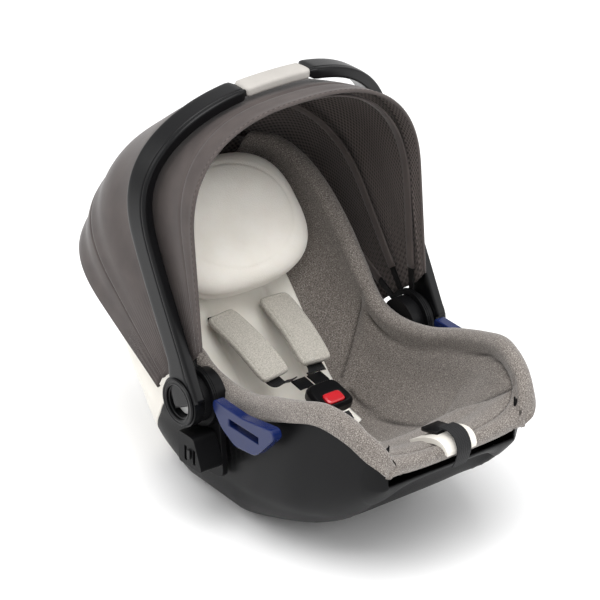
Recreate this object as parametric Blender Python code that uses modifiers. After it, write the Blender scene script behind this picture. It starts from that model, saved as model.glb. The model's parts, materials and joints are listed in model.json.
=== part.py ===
"""Infant car seat: rocker shell, padded bucket, harness, carry handle and folding canopy.

Every point below is measured from the handle's pivot axis: x to the child's left, y towards the
head end, z up, in metres. One empty on that axis carries all pieces and lifts them to their height
over the floor, so the seat stands on z = 0 with its middle over the origin.
"""
from math import atan2, cos, pi, radians, sin

import bmesh
import bpy
import numpy as np
from mathutils import Matrix, Vector

# ---- driving dimensions -------------------------------------------------------------------------
PIVOT_HEIGHT = 0.190      # handle axis over the floor
PIVOT_Y = -0.0073         # handle axis from the middle of the seat's length
HANDLE_HALF_WIDTH = 0.2155
HANDLE_TOP = 0.3917       # front outer edge of the handle over its axis
ARM_INNER_X = 0.1985
HUB_RADIUS = 0.036
SHELL_WALL = 0.003
COVER_WALL = 0.0045
ROLL = 0.009              # radius of the cover's rolled edge
APRON_Z = -0.007          # where the cover ends under the front lip
GAP = 0.0006
CANOPY_HALF_WIDTH = 0.192
CLOTH = 0.0025

# ---- scene --------------------------------------------------------------------------------------
for old in list(bpy.data.objects):
    bpy.data.objects.remove(old, do_unlink=True)

PARTS = bpy.data.collections.new("infant_car_seat")
CUTTERS = bpy.data.collections.new("cutters")
bpy.context.scene.collection.children.link(PARTS)
bpy.context.scene.collection.children.link(CUTTERS)

AXIS = bpy.data.objects.new("pivot_axis", None)
AXIS.location = (0, PIVOT_Y, PIVOT_HEIGHT)
PARTS.objects.link(AXIS)


def material(name, colour, roughness, metallic=0.0):
    """A plain shader in the part's colour."""
    mat = bpy.data.materials.new(name)
    mat.use_nodes = True
    shader = mat.node_tree.nodes["Principled BSDF"]
    shader.inputs["Base Color"].default_value = (*colour, 1)
    shader.inputs["Roughness"].default_value = roughness
    shader.inputs["Metallic"].default_value = metallic
    return mat


BLACK = material("black_plastic", (0.018, 0.018, 0.020), 0.45)
WHITE = material("white_plastic", (0.80, 0.79, 0.76), 0.40)
GREY_SOFT = material("grip_rubber", (0.42, 0.40, 0.37), 0.70)
BLUE = material("blue_plastic", (0.020, 0.040, 0.160), 0.30)
RED = material("red_plastic", (0.55, 0.02, 0.03), 0.35)
MELANGE = material("melange_fabric", (0.42, 0.37, 0.33), 0.95)
CREAM = material("cream_cotton", (0.80, 0.77, 0.70), 0.95)
PAD = material("pad_twill", (0.55, 0.53, 0.48), 0.95)
MESH = material("canopy_mesh", (0.13, 0.105, 0.095), 0.90)
WEB = material("black_webbing", (0.015, 0.015, 0.016), 0.80)
FOAM = material("white_foam", (0.85, 0.85, 0.85), 0.90)
STEEL = material("spring_steel", (0.55, 0.55, 0.56), 0.30, 1.0)


# ---- shaping tools ------------------------------------------------------------------------------
def add(name, mesh, mat, origin=(0, 0, 0), home=PARTS):
    """Put a mesh, given in pivot coordinates, in the scene with its origin at the given point."""
    mesh.transform(Matrix.Translation(-Vector(origin)))
    obj = bpy.data.objects.new(name, mesh)
    obj.location = origin
    obj.parent = AXIS
    if mat:
        mesh.materials.append(mat)
    home.objects.link(obj)
    return obj


def smooth(obj, angle=40):
    """Shade an object smooth, with sharp edges where it turns more than the angle."""
    obj.data.shade_smooth()
    obj.data.set_sharp_from_angle(angle=radians(angle))
    return obj


def from_arrays(verts, faces):
    """A mesh whose faces are turned to point out."""
    bm = bmesh.new()
    points = [bm.verts.new(v) for v in np.asarray(verts).reshape(-1, 3)]
    for face in faces:
        bm.faces.new([points[i] for i in face])
    bmesh.ops.recalc_face_normals(bm, faces=bm.faces)
    mesh = bpy.data.meshes.new("shape")
    bm.to_mesh(mesh)
    bm.free()
    return mesh


def sheet_mesh(outer, inner):
    """Close two grids of points of the same size into one body, like a board with two faces."""
    rows, cols, _ = outer.shape
    low = rows * cols

    def at(i, j, side):
        return side * low + i * cols + j

    faces = []
    for i in range(rows - 1):
        for j in range(cols - 1):
            faces.append((at(i, j, 0), at(i, j + 1, 0), at(i + 1, j + 1, 0), at(i + 1, j, 0)))
            faces.append((at(i, j, 1), at(i + 1, j, 1), at(i + 1, j + 1, 1), at(i, j + 1, 1)))
    for i in range(rows - 1):
        for j in (0, cols - 1):
            faces.append((at(i, j, 0), at(i + 1, j, 0), at(i + 1, j, 1), at(i, j, 1)))
    for j in range(cols - 1):
        for i in (0, rows - 1):
            faces.append((at(i, j, 0), at(i, j + 1, 0), at(i, j + 1, 1), at(i, j, 1)))
    return from_arrays(np.concatenate([outer.reshape(-1, 3), inner.reshape(-1, 3)]), faces)


def loft_mesh(loops):
    """Skin closed loops of points, one loop a station, and cap both ends."""
    stations, count, _ = loops.shape
    faces = [tuple(range(count)), tuple((stations - 1) * count + j for j in range(count))]
    for i in range(stations - 1):
        for j in range(count):
            k = (j + 1) % count
            faces.append((i * count + j, i * count + k, (i + 1) * count + k, (i + 1) * count + j))
    return from_arrays(loops, faces)


def ring_mesh(outer, inner):
    """Skin a sleeve between two stacks of closed loops."""
    stations, count, _ = outer.shape
    shift = stations * count
    faces = []
    for j in range(count):
        k = (j + 1) % count
        for i in range(stations - 1):
            a, b, c, d = i * count + j, i * count + k, (i + 1) * count + k, (i + 1) * count + j
            faces.append((a, b, c, d))
            faces.append((a + shift, d + shift, c + shift, b + shift))
        for i in (0, stations - 1):
            faces.append((i * count + j, i * count + k, i * count + k + shift, i * count + j + shift))
    return from_arrays(np.concatenate([outer.reshape(-1, 3), inner.reshape(-1, 3)]), faces)


def grid_normals(grid):
    """Unit normals of a grid of points, from the differences along its rows and columns."""
    normal = np.cross(np.gradient(grid, axis=1), np.gradient(grid, axis=0))
    return normal / np.maximum(np.linalg.norm(normal, axis=2, keepdims=True), 1e-9)


def through(keys, count):
    """Catmull-Rom curve through the rows of keys, sampled evenly in key number."""
    keys = np.asarray(keys, float)
    return along(keys, np.linspace(0, len(keys) - 1, count))


def along(keys, t):
    """The same curve at any key numbers t."""
    keys = np.asarray(keys, float)
    i = np.minimum(np.maximum(t.astype(int), 0), len(keys) - 2)
    f = (t - i)[:, None]
    k = np.vstack([2 * keys[0] - keys[1], keys, 2 * keys[-1] - keys[-2]])
    a, b, c, d = k[i], k[i + 1], k[i + 2], k[i + 3]
    return 0.5 * (2 * b + (c - a) * f + (2 * a - 5 * b + 4 * c - d) * f**2
                  + (3 * b - a - 3 * c + d) * f**3)


def box_mesh(centre, size, turn=0.0):
    """A box, turned about x by the given angle."""
    bm = bmesh.new()
    bmesh.ops.create_cube(bm, size=1)
    spin = Matrix.Rotation(turn, 4, "X")
    place = Matrix.Translation(centre) @ spin @ Matrix.Diagonal((*size, 1))
    bmesh.ops.transform(bm, matrix=place, verts=bm.verts)
    mesh = bpy.data.meshes.new("box")
    bm.to_mesh(mesh)
    bm.free()
    return mesh


def disc_mesh(centre, radius, thickness, sides=28):
    """A cylinder lying along x."""
    bm = bmesh.new()
    bmesh.ops.create_cone(bm, cap_ends=True, segments=sides, radius1=radius, radius2=radius,
                          depth=thickness)
    place = Matrix.Translation(centre) @ Matrix.Rotation(pi / 2, 4, "Y")
    bmesh.ops.transform(bm, matrix=place, verts=bm.verts)
    mesh = bpy.data.meshes.new("disc")
    bm.to_mesh(mesh)
    bm.free()
    return mesh


def slab_mesh(outline, low_x, high_x):
    """An outline of (y, z) points carried straight from one x to another."""
    ring = np.array([(low_x, y, z) for y, z in outline])
    return loft_mesh(np.stack([ring, ring + (high_x - low_x, 0, 0)]))


def bevel(obj, width, segments=2, angle=35):
    """Round the edges that turn more than the angle."""
    mod = obj.modifiers.new("rounded", "BEVEL")
    mod.width = width
    mod.segments = segments
    mod.limit_method = "ANGLE"
    mod.angle_limit = radians(angle)
    return obj


def boolean(obj, mesh, operation, name):
    """Cut a mesh from an object, or join it on."""
    tool = add(name, mesh, None, home=CUTTERS)
    tool.hide_render = True
    tool.display_type = "WIRE"
    mod = obj.modifiers.new(name, "BOOLEAN")
    mod.object = tool
    mod.operation = operation
    mod.solver = "EXACT"
    return obj


def rounded_outline(corners, radius, steps=3):
    """Replace each corner of an outline with a short arc-like curve."""
    points = []
    count = len(corners)
    for i in range(count):
        here = np.array(corners[i], float)
        back = np.array(corners[i - 1], float) - here
        ahead = np.array(corners[(i + 1) % count], float) - here
        reach = min(radius, 0.45 * np.linalg.norm(back), 0.45 * np.linalg.norm(ahead))
        a = here + back / np.linalg.norm(back) * reach
        b = here + ahead / np.linalg.norm(ahead) * reach
        for s in np.linspace(0, 1, steps + 1):
            points.append(tuple((1 - s)**2 * a + 2 * s * (1 - s) * here + s**2 * b))
    return points


# ---- padded bucket: the surface that every layer follows --------------------------------------
# Each station is (bottom y, bottom z, rim y, rim z, half width at the rim, hem length).
COVER_STATIONS = [
    (-0.312, -0.012, -0.315, 0.004, 0.104, 0.004),
    (-0.318, 0.000, -0.312, 0.021, 0.116, 0.010),
    (-0.306, 0.006, -0.299, 0.042, 0.129, 0.014),
    (-0.278, -0.004, -0.270, 0.062, 0.140, 0.014),
    (-0.226, -0.038, -0.230, 0.070, 0.150, 0.014),
    (-0.164, -0.085, -0.186, 0.058, 0.157, 0.016),
    (-0.100, -0.118, -0.130, 0.040, 0.158, 0.020),
    (-0.040, -0.134, -0.072, 0.020, 0.1535, 0.012),
    (0.015, -0.132, -0.012, 0.014, 0.1485, 0.004),
    (0.062, -0.098, 0.034, 0.026, 0.1480, 0.004),
    (0.112, -0.048, 0.074, 0.066, 0.151, 0.006),
    (0.160, 0.000, 0.112, 0.110, 0.152, 0.010),
    (0.208, 0.048, 0.156, 0.154, 0.149, 0.012),
    (0.252, 0.092, 0.201, 0.187, 0.141, 0.012),
    (0.284, 0.128, 0.240, 0.204, 0.126, 0.010),
    (0.294, 0.154, 0.267, 0.206, 0.104, 0.006),
]
# Shell stations: bottom y and z, and how far the belly bulges past the rim.
SHELL_STATIONS = [
    (-0.300, -0.030, 0.000),
    (-0.290, -0.046, 0.000),
    (-0.272, -0.073, 0.002),
    (-0.240, -0.103, 0.005),
    (-0.198, -0.131, 0.008),
    (-0.150, -0.153, 0.011),
    (-0.090, -0.174, 0.012),
    (-0.030, -0.190, 0.014),
    (0.030, -0.190, 0.016),
    (0.090, -0.190, 0.016),
    (0.160, -0.160, 0.014),
    (0.212, -0.095, 0.010),
    (0.250, -0.045, 0.006),
    (0.290, 0.005, 0.004),
    (0.320, 0.055, 0.003),
    (0.331, 0.105, 0.002),
]
COVER_POWER = 2.6
SHELL_POWER = 5.0
RIM_DROP = 0.011          # shell edge under the top of the cover's roll
SHELL_SPAN = (2.1, 14.5)  # the shell's two ends, counted in cover stations
FLAT_SHARE = 0.3          # flat middle of the shell's bottom, as a share of its half width


def quarter(power, steps):
    """A quarter of a superellipse from its bottom to its side, as (across, up) from 0 to 1."""
    angle = np.linspace(0, pi / 2, steps)
    reach = (np.cos(angle)**power + np.sin(angle)**power)**(-1 / power)
    return reach * np.sin(angle), 1 - reach * np.cos(angle)


def cover_section(half, depth, hem, steps):
    """Half of the cover's section: up the inside wall, over the roll and down to the hem."""
    across, up = quarter(COVER_POWER, steps)
    arc = np.linspace(pi, 0, 5)[1:]
    x = [across * (half - ROLL), half + ROLL * np.cos(arc), [half + ROLL + 0.1 * hem]]
    w = [up * (depth - ROLL), depth - ROLL + ROLL * np.sin(arc), [depth - ROLL - hem]]
    return np.concatenate(x), np.concatenate(w)


def mirrored(x, w, bottom, up):
    """Both halves of a section, placed on the line from its bottom towards its rim."""
    x = np.concatenate([-x[:0:-1], x])
    w = np.concatenate([w[:0:-1], w])
    return np.stack([x, bottom[0] + up[0] * w, bottom[1] + up[1] * w], axis=1)


def cover_grid(t, steps=11):
    """The cover's visible surface at the station numbers t."""
    rows = []
    for by, bz, ry, rz, half, hem in along(COVER_STATIONS, t):
        rise = np.array([ry - by, rz - bz])
        depth = np.linalg.norm(rise)
        x, w = cover_section(half, depth, max(hem, 0.001), steps)
        rows.append(mirrored(x, w, (by, bz), rise / depth))
    return np.array(rows)


def inner_points(t, fractions):
    """Points of the cover's inside surface, at fractions of its inside half width."""
    across, up = quarter(COVER_POWER, 40)
    rows = []
    for by, bz, ry, rz, half, _ in along(COVER_STATIONS, t):
        rise = np.array([ry - by, rz - bz])
        depth = np.linalg.norm(rise)
        w = np.interp(np.abs(fractions), across, up) * (depth - ROLL)
        y = by + rise[0] / depth * w
        z = bz + rise[1] / depth * w
        rows.append(np.stack([fractions * (half - ROLL), y, z], axis=1))
    return np.array(rows)


def shell_grid(count, steps=10):
    """The shell's outer surface, whose rim stands inside the cover's rolled edge."""
    t = np.linspace(*SHELL_SPAN, count)
    across, up = quarter(SHELL_POWER, steps)
    up[across < FLAT_SHARE] = 0
    rows = []
    for (cy, cz, ry, rz, half, _), (by, bz, belly) in zip(along(COVER_STATIONS, t), along(SHELL_STATIONS, t)):
        bz = max(bz, -PIVOT_HEIGHT)
        edge = np.array([ry - cy, rz - cz])
        rim = np.array([ry, rz]) - edge / np.linalg.norm(edge) * RIM_DROP
        rise = rim - (by, bz)
        width = half + SHELL_WALL / 2 + belly * (1 - up)
        depth = np.linalg.norm(rise)
        rows.append(mirrored(across * width, up * depth, (by, bz), rise / depth))
    return np.array(rows)


def seat_cover():
    """Padded melange cover: inside bucket, rolled rim and the hem outside the shell."""
    outer = cover_grid(np.linspace(0, 15, 28), 8)
    apron = outer[:1] * (0.99, 1, 0) + (0, 0.003, APRON_Z)
    outer = np.concatenate([apron, outer])
    inner = outer - COVER_WALL * grid_normals(outer)
    return smooth(add("seat_cover", sheet_mesh(outer, inner), MELANGE))


def shells():
    """The black tub and the off-white back shell, one surface parted along a slanted joint."""
    split_point = Vector((0, 0.070, 0.0))
    split_normal = Vector((0, 0.8517, 0.5241))
    grid = shell_grid(26, 8)
    for name, mat, side in (("lower_shell", BLACK, -1), ("rear_shell", WHITE, 1)):
        rows, cols, _ = grid.shape
        faces = [(i * cols + j, i * cols + j + 1, (i + 1) * cols + j + 1, (i + 1) * cols + j)
                 for i in range(rows - 1) for j in range(cols - 1)]
        bm = bmesh.new()
        points = [bm.verts.new(p) for p in grid.reshape(-1, 3)]
        for face in faces:
            bm.faces.new([points[k] for k in face])
        bmesh.ops.bisect_plane(
            bm, geom=bm.verts[:] + bm.edges[:] + bm.faces[:], dist=1e-6,
            plane_co=split_point + split_normal * side * GAP, plane_no=split_normal,
            clear_inner=side > 0, clear_outer=side < 0)
        mesh = bpy.data.meshes.new(name)
        bm.to_mesh(mesh)
        bm.free()
        shell = add(name, mesh, mat)
        wall = shell.modifiers.new("wall", "SOLIDIFY")
        wall.thickness = SHELL_WALL
        wall.offset = 1.0
        smooth(shell)


def foam_liner():
    """Moulded foam under the cover's seat and back."""
    t = np.linspace(4.0, 13.2, 18)
    fractions = np.linspace(-0.90, 0.90, 13)
    surface = inner_points(t, fractions)
    normal = grid_normals(surface)
    thick = 0.006 + 0.016 * (1 - fractions**2)[None, :, None]
    top = surface - (COVER_WALL + 0.0030) * normal
    return smooth(add("foam_liner", sheet_mesh(top, top - thick * normal), FOAM))


def cover_patch(name, mat, t, fractions, low, high):
    """A pad that lies on the cover: low and high are its two faces' lifts off the surface."""
    surface = inner_points(t, fractions)
    normal = grid_normals(surface)
    return smooth(add(name, sheet_mesh(surface + high * normal, surface + low * normal), mat))


def infant_insert():
    """Soft cotton insert on the seat and back."""
    t = np.linspace(7.4, 12.8, 12)
    return cover_patch("infant_insert", CREAM, t, np.linspace(-0.66, 0.66, 11), 0.0028, 0.0105)


# ---- headrest -----------------------------------------------------------------------------------
BACK_LINE = 0.160         # along the back, y - z of the cover's middle


def back_frame(x, s, w):
    """A point on the back: s along its slope upwards, w square off the cover."""
    root = 2**0.5
    return x, (s - w) / root + BACK_LINE / 2, (s + w) / root - BACK_LINE / 2


def headrest():
    """Bulging head pad on a thin board that slides along the back."""
    middle = Vector(back_frame(0, 0.222, 0.0665))
    bm = bmesh.new()
    bmesh.ops.create_uvsphere(bm, u_segments=24, v_segments=14, radius=1)
    half = (0.122, 0.098, 0.0450)
    slope = Matrix.Rotation(pi / 4, 4, "X")
    for v in bm.verts:
        shaped = [abs(c)**0.80 * (1 if c >= 0 else -1) * h for c, h in zip(v.co, half)]
        v.co = middle + slope @ Vector(shaped)
    mesh = bpy.data.meshes.new("headrest")
    bm.to_mesh(mesh)
    bm.free()
    smooth(add("headrest_pad", mesh, CREAM, origin=middle))
    board = box_mesh(back_frame(0, 0.2125, 0.0185), (0.110, 0.130, 0.0020), pi / 4)
    add("headrest_board", board, BLACK, origin=middle)


# ---- harness ------------------------------------------------------------------------------------
BUCKLE = np.array((0.0, -0.047, -0.046))
BUCKLE_TILT = atan2(-0.3, 0.9)


def ribbon_mesh(points, width, thickness, turn=None):
    """A flat strap along a path: its width lies across x unless other width vectors are given."""
    points = np.asarray(points, float)
    ahead = np.gradient(points, axis=0)
    ahead /= np.linalg.norm(ahead, axis=1, keepdims=True)
    side = np.tile((1.0, 0, 0), (len(points), 1)) if turn is None else np.asarray(turn, float)
    side = side - ahead * np.sum(side * ahead, axis=1, keepdims=True)
    side /= np.linalg.norm(side, axis=1, keepdims=True)
    up = np.cross(side, ahead)
    a, b = side * width / 2, up * thickness / 2
    return loft_mesh(np.stack([points - a - b, points + a - b, points + a + b, points - a + b], 1))


def shoulder_harness(side, name):
    """A strap from its slot in the back to the buckle, with a padded sleeve lying on it."""
    top = np.array((0.046 * side, 0.139, 0.020))
    end = np.array((0.035 * side, 0.022, -0.031))
    lift = np.array((0, -0.0032, 0.0082))
    pad_path = through([top, 0.5 * (top + end) + (0, -0.003, 0.004), end], 9)
    pad = loft_mesh(pad_loops(pad_path, 0.050, 0.012))
    smooth(add(f"shoulder_pad_{name}", pad, PAD))
    tongue = BUCKLE + (0.0135 * side, 0.040, 0.010)
    route = [top + (0, 0.004, 0.004) - lift * 1.15, top - lift * 1.15,
             0.5 * (top + end) + (0, -0.003, 0.004) - lift * 1.15, end - lift * 1.15,
             tongue + (0.004 * side, 0.012, 0.004)]
    strap = ribbon_mesh(through(route, 16), 0.025, 0.0016)
    smooth(add(f"harness_strap_{name}", strap, WEB))
    plate = slab_mesh(rounded_outline([(-0.011, -0.0013), (0.011, -0.0013), (0.011, 0.0013),
                                       (-0.011, 0.0013)], 0.001, 2), -0.0115, 0.0115)
    plate.transform(Matrix.Translation(tongue) @ Matrix.Rotation(-BUCKLE_TILT * 0.5, 4, "X"))
    add(f"buckle_tongue_{name}", plate, BLACK)


def pad_loops(path, width, thickness):
    """Sections of a soft strap pad, with its ends drawn in."""
    count = len(path)
    taper = 1 - 0.55 * np.abs(np.linspace(-1, 1, count))**7
    ahead = np.gradient(path, axis=0)
    ahead /= np.linalg.norm(ahead, axis=1, keepdims=True)
    side = np.tile((1.0, 0, 0), (count, 1))
    side -= ahead * np.sum(side * ahead, axis=1, keepdims=True)
    side /= np.linalg.norm(side, axis=1, keepdims=True)
    up = np.cross(side, ahead)
    angle = np.linspace(0, 2 * pi, 13)[:-1]
    across = np.sign(np.cos(angle)) * np.abs(np.cos(angle))**0.5
    rise = np.sign(np.sin(angle)) * np.abs(np.sin(angle))**0.7
    wide = side[:, None] * (across * width / 2)[None, :, None] * taper[:, None, None]
    high = up[:, None] * (rise * thickness / 2)[None, :, None] * taper[:, None, None]
    return path[:, None] + wide + high


def buckle():
    """Buckle body with its red push button, held by the crotch strap."""
    plan = rounded_outline([(-0.030, -0.024), (0.030, -0.024), (0.026, 0.026), (-0.026, 0.026)],
                           0.014, 4)
    ring = np.array([(x, y, 0.0) for x, y in plan])
    low, high = ring - (0, 0, 0.010), ring + (0, 0, 0.010)
    mesh = loft_mesh(np.stack([low * (0.90, 0.90, 1), low * (1, 1, 0.6), high * (1, 1, 0.5),
                               high * (0.86, 0.86, 1)]))
    place = Matrix.Translation(BUCKLE) @ Matrix.Rotation(-BUCKLE_TILT, 4, "X")
    mesh.transform(place)
    body = smooth(add("buckle_body", mesh, BLACK))
    well = rounded_outline([(-0.0155, -0.019), (0.0155, -0.019), (0.0155, 0.001), (-0.0155, 0.001)],
                           0.006, 3)
    pocket = np.array([(x, y, 0.0045) for x, y in well])
    cut = loft_mesh(np.stack([pocket, pocket + (0, 0, 0.02)]))
    cut.transform(place)
    boolean(body, cut, "DIFFERENCE", "button_well")
    shrink = np.array((0.95, 0.955, 1))
    centre = np.array((0, -0.009, 0))
    cap = (pocket - centre) * shrink + centre
    button = loft_mesh(np.stack([cap + (0, 0, 0.0030), cap + (0, 0, 0.0065),
                                 (cap - centre) * (0.8, 0.8, 1) + centre + (0, 0, 0.0080)]))
    button.transform(place)
    smooth(add("buckle_button", button, RED, origin=BUCKLE))
    route = [(0, -0.082, -0.122), (0, -0.084, -0.105), (0, -0.088, -0.080), (0, -0.086, -0.066),
             (0, -0.0745, -0.0575)]
    smooth(add("crotch_strap", ribbon_mesh(through(route, 13), 0.028, 0.0020), WEB))


# ---- harness adjuster on the front lip ----------------------------------------------------------
def adjuster():
    """White bezel on the front lip, the black push lever in it and the pull strap over the lip."""
    bezel = cover_patch("adjuster_bezel", WHITE, np.linspace(0.75, 3.35, 12),
                        np.linspace(-0.235, 0.235, 7), 0.0008, 0.0085)
    centre = Vector((0, -0.277, 0.0108))
    opening = box_mesh(centre, (0.032, 0.036, 0.050), radians(-12))
    boolean(bezel, opening, "DIFFERENCE", "lever_opening")
    lever = box_mesh(centre + Vector((0, 0.0, -0.0015)), (0.0305, 0.0340, 0.0060), radians(-12))
    bevel(add("adjuster_lever", lever, BLACK, origin=centre), 0.0015)
    route = [(0, -0.294, 0.0215), (0, -0.310, 0.0235), (0, -0.323, 0.0185), (0, -0.3305, 0.004),
             (0, -0.3275, -0.012), (0, -0.3205, -0.026)]
    smooth(add("adjuster_strap", ribbon_mesh(through(route, 14), 0.024, 0.0018), WEB))
    inside = [(0, 0.148, -0.101), (0, 0.106, -0.156), (0, 0.030, -0.179), (0, -0.060, -0.174),
              (0, -0.150, -0.140), (0, -0.218, -0.099), (0, -0.250, -0.066)]
    smooth(add("harness_pull_strap", ribbon_mesh(through(inside, 20), 0.026, 0.0018), WEB))
    plate = box_mesh((0, 0.163, -0.092), (0.058, 0.026, 0.0025), radians(52))
    bevel(add("splitter_plate", plate, STEEL), 0.0006, 1)


# ---- carry handle -------------------------------------------------------------------------------
HANDLE_POWER = 2.52
HANDLE_SHOULDER = 0.2014  # height where the arms start to arch inwards
GRIP_HALF = 0.058         # half the length of the soft sleeve


def handle_edge(angle):
    """Front outer edge of the arch above its shoulders, for angles from 0 to pi."""
    c, s = np.cos(angle), np.sin(angle)
    x = HANDLE_HALF_WIDTH * np.sign(c) * np.abs(c)**(2 / HANDLE_POWER)
    z = HANDLE_SHOULDER + (HANDLE_TOP - HANDLE_SHOULDER) * np.abs(s)**(2 / HANDLE_POWER)
    return x, z


def lean(z):
    """How far back the edge stands at height z: a straight slope that turns upright."""
    slope, upper, turn, softness = 0.5294, -0.3186, 0.2675, 0.030
    bend = softness * np.log1p(np.exp((z - turn) / softness))
    return -0.0455 + slope * z + (upper - slope) * bend


def handle_path():
    """Edge points from the left hub over the top to the right hub, with their frames."""
    leg = np.linspace(0.028, HANDLE_SHOULDER, 9)[:-1]
    t = np.linspace(0, 1, 29)
    angle = pi * (t + 0.045 * np.sin(4 * pi * t))
    x, z = handle_edge(angle)
    x = np.concatenate([np.full(8, HANDLE_HALF_WIDTH), x, np.full(8, -HANDLE_HALF_WIDTH)])
    z = np.concatenate([leg, z, leg[::-1]])
    edge = np.stack([x, lean(z), z], axis=1)
    ahead = np.gradient(edge, axis=0)
    ahead /= np.linalg.norm(ahead, axis=1, keepdims=True)
    inward = np.stack([-ahead[:, 2], np.zeros(len(x)), ahead[:, 0]], axis=1)
    inward /= np.linalg.norm(inward, axis=1, keepdims=True)
    back = np.cross(inward, ahead)
    back *= np.sign(back[:, 1:2])
    return edge, inward, back


def handle_loops(edge, inward, back, start, width, depth, sink):
    """Rounded rectangular sections set back from the edge, sink deep under its outer face."""
    plan = rounded_outline([(0, 0), (1, 0), (1, 1), (0, 1)], 0.18, 1)
    loops = []
    for p, i, b, s, w, d, k in zip(edge, inward, back, start, width, depth, sink):
        loops.append([p + b * (s + w * u) + i * (k + d * v) for u, v in plan])
    return np.array(loops)


def handle():
    """Arched handle with a disc at each hub, and the soft sleeve on its crossbar."""
    edge, inward, back = handle_path()
    height = edge[:, 2]
    in_grip = np.abs(edge[:, 0]) < GRIP_HALF + 0.0015
    foot = np.clip((0.075 - height) / 0.05, 0, 1)
    start = np.where(in_grip, 0.0065, 0.0)
    width = np.where(in_grip, 0.0260, 0.040 + 0.020 * foot)
    depth = np.where(in_grip, 0.0105, 0.0170)
    sink = np.where(in_grip, 0.0035, 0.0)
    bar = add("handle_bar", loft_mesh(handle_loops(edge, inward, back, start, width, depth, sink)),
              BLACK)
    arm_middle = (HANDLE_HALF_WIDTH + ARM_INNER_X) / 2
    for side, name in ((1, "left"), (-1, "right")):
        disc = disc_mesh((arm_middle * side, 0, 0), HUB_RADIUS,
                         HANDLE_HALF_WIDTH - ARM_INNER_X, 28)
        boolean(bar, disc, "UNION", f"hub_disc_{name}")
    bore = disc_mesh((0, 0, 0), 0.0215, 0.6, 28)
    boolean(bar, bore, "DIFFERENCE", "hub_bore")
    smooth(bar, 30)
    inside = np.abs(edge[:, 0]) < GRIP_HALF
    n = int(inside.sum())
    outer = handle_loops(edge[inside], inward[inside], back[inside], np.full(n, 0.0030),
                         np.full(n, 0.0330), np.full(n, 0.0165), np.full(n, 0.0))
    inner = handle_loops(edge[inside], inward[inside], back[inside], np.full(n, 0.0056),
                         np.full(n, 0.0278), np.full(n, 0.0123), np.full(n, 0.0026))
    smooth(add("handle_grip", ring_mesh(outer, inner), GREY_SOFT), 30)


def hub_parts(side, name):
    """Everything at one hub: trim ring, release button, lock gear, spring and fixed drum."""
    def x(value):
        return value * side

    ring = disc_mesh((x(0.2175), 0, 0), 0.0335, 0.0034, 28)
    trim = add(f"hub_ring_{name}", ring, BLACK)
    boolean(trim, disc_mesh((x(0.2175), 0, 0), 0.0240, 0.02, 28), "DIFFERENCE", f"ring_hole_{name}")
    button = add(f"handle_button_{name}", disc_mesh((x(0.2020), 0, 0), 0.0207, 0.0080, 32),
                 WHITE, origin=(x(0.2020), 0, 0))
    bevel(button, 0.0012, 1)
    teeth = 12
    rim = []
    for k in range(teeth * 4):
        radius = 0.0228 if (k // 2) % 2 else 0.0200
        rim.append((radius * cos(2 * pi * k / (teeth * 4)), radius * sin(2 * pi * k / (teeth * 4))))
    add(f"lock_gear_{name}", slab_mesh(rim, x(0.1880), x(0.1972)), BLACK, origin=(x(0.19), 0, 0))
    turns, points = 4, 33
    coil = bpy.data.curves.new(f"release_spring_{name}", "CURVE")
    coil.dimensions = "3D"
    coil.bevel_depth = 0.0009
    coil.bevel_resolution = 0
    coil.use_fill_caps = True
    line = coil.splines.new("POLY")
    line.points.add(points - 1)
    for k, point in enumerate(line.points):
        angle = 2 * pi * turns * k / (points - 1)
        point.co = (x(0.1770 + 0.0094 * k / (points - 1)), 0.012 * cos(angle), 0.012 * sin(angle), 1)
    spring = bpy.data.objects.new(f"release_spring_{name}", coil)
    spring.parent = AXIS
    coil.materials.append(STEEL)
    PARTS.objects.link(spring)
    drum = add(f"hub_drum_{name}", disc_mesh((x(0.1790), 0, 0), 0.0340, 0.0360, 28), BLACK)
    plate = slab_mesh(rounded_outline([(-0.034, 0.004), (-0.046, -0.110), (0.020, -0.118),
                                       (0.034, 0.004)], 0.012), x(0.1688), x(0.1770))
    boolean(drum, plate, "UNION", f"drum_plate_{name}")
    boolean(drum, disc_mesh((x(0.1880), 0, 0), 0.0240, 0.0240, 28), "DIFFERENCE",
            f"drum_pocket_{name}")
    smooth(drum, 30)


def adapter_socket(side, name):
    """Pushchair adapter socket under the hub, with two slots and a spring catch between them."""
    outline = rounded_outline([(-0.030, -0.0440), (-0.0475, -0.0860), (-0.0440, -0.0900),
                               (0.0040, -0.0900), (0.0060, -0.0440)], 0.006)
    body = add(f"adapter_socket_{name}", slab_mesh(outline, 0.1780 * side, 0.2145 * side), BLACK)
    for k, y in enumerate((-0.031, -0.012)):
        slot = box_mesh((0.205 * side, y, -0.072), (0.030, 0.0052, 0.022))
        boolean(body, slot, "DIFFERENCE", f"adapter_slot_{name}_{k}")
    smooth(body, 30)
    catch = box_mesh((0.2162 * side, -0.0215, -0.0700), (0.0026, 0.0070, 0.0140))
    bevel(add(f"adapter_catch_{name}", catch, WHITE), 0.0006, 1)


def belt_guide(side, name):
    """Blue hook on the rim that the vehicle's belt passes under."""
    outline = rounded_outline([(-0.050, 0.006), (-0.050, 0.020), (-0.112, 0.018), (-0.178, 0.028),
                               (-0.183, 0.017), (-0.160, -0.008), (-0.142, -0.026),
                               (-0.098, -0.031), (-0.068, -0.016)], 0.008)
    low, high = sorted((0.1816 * side, 0.1966 * side))
    guide = add(f"belt_guide_{name}", slab_mesh(outline, low, high), BLUE)
    slot = box_mesh((0.188 * side, -0.117, 0.0000), (0.040, 0.064, 0.0100))
    boolean(guide, slot, "DIFFERENCE", f"belt_slot_{name}")
    smooth(guide, 30)


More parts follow.
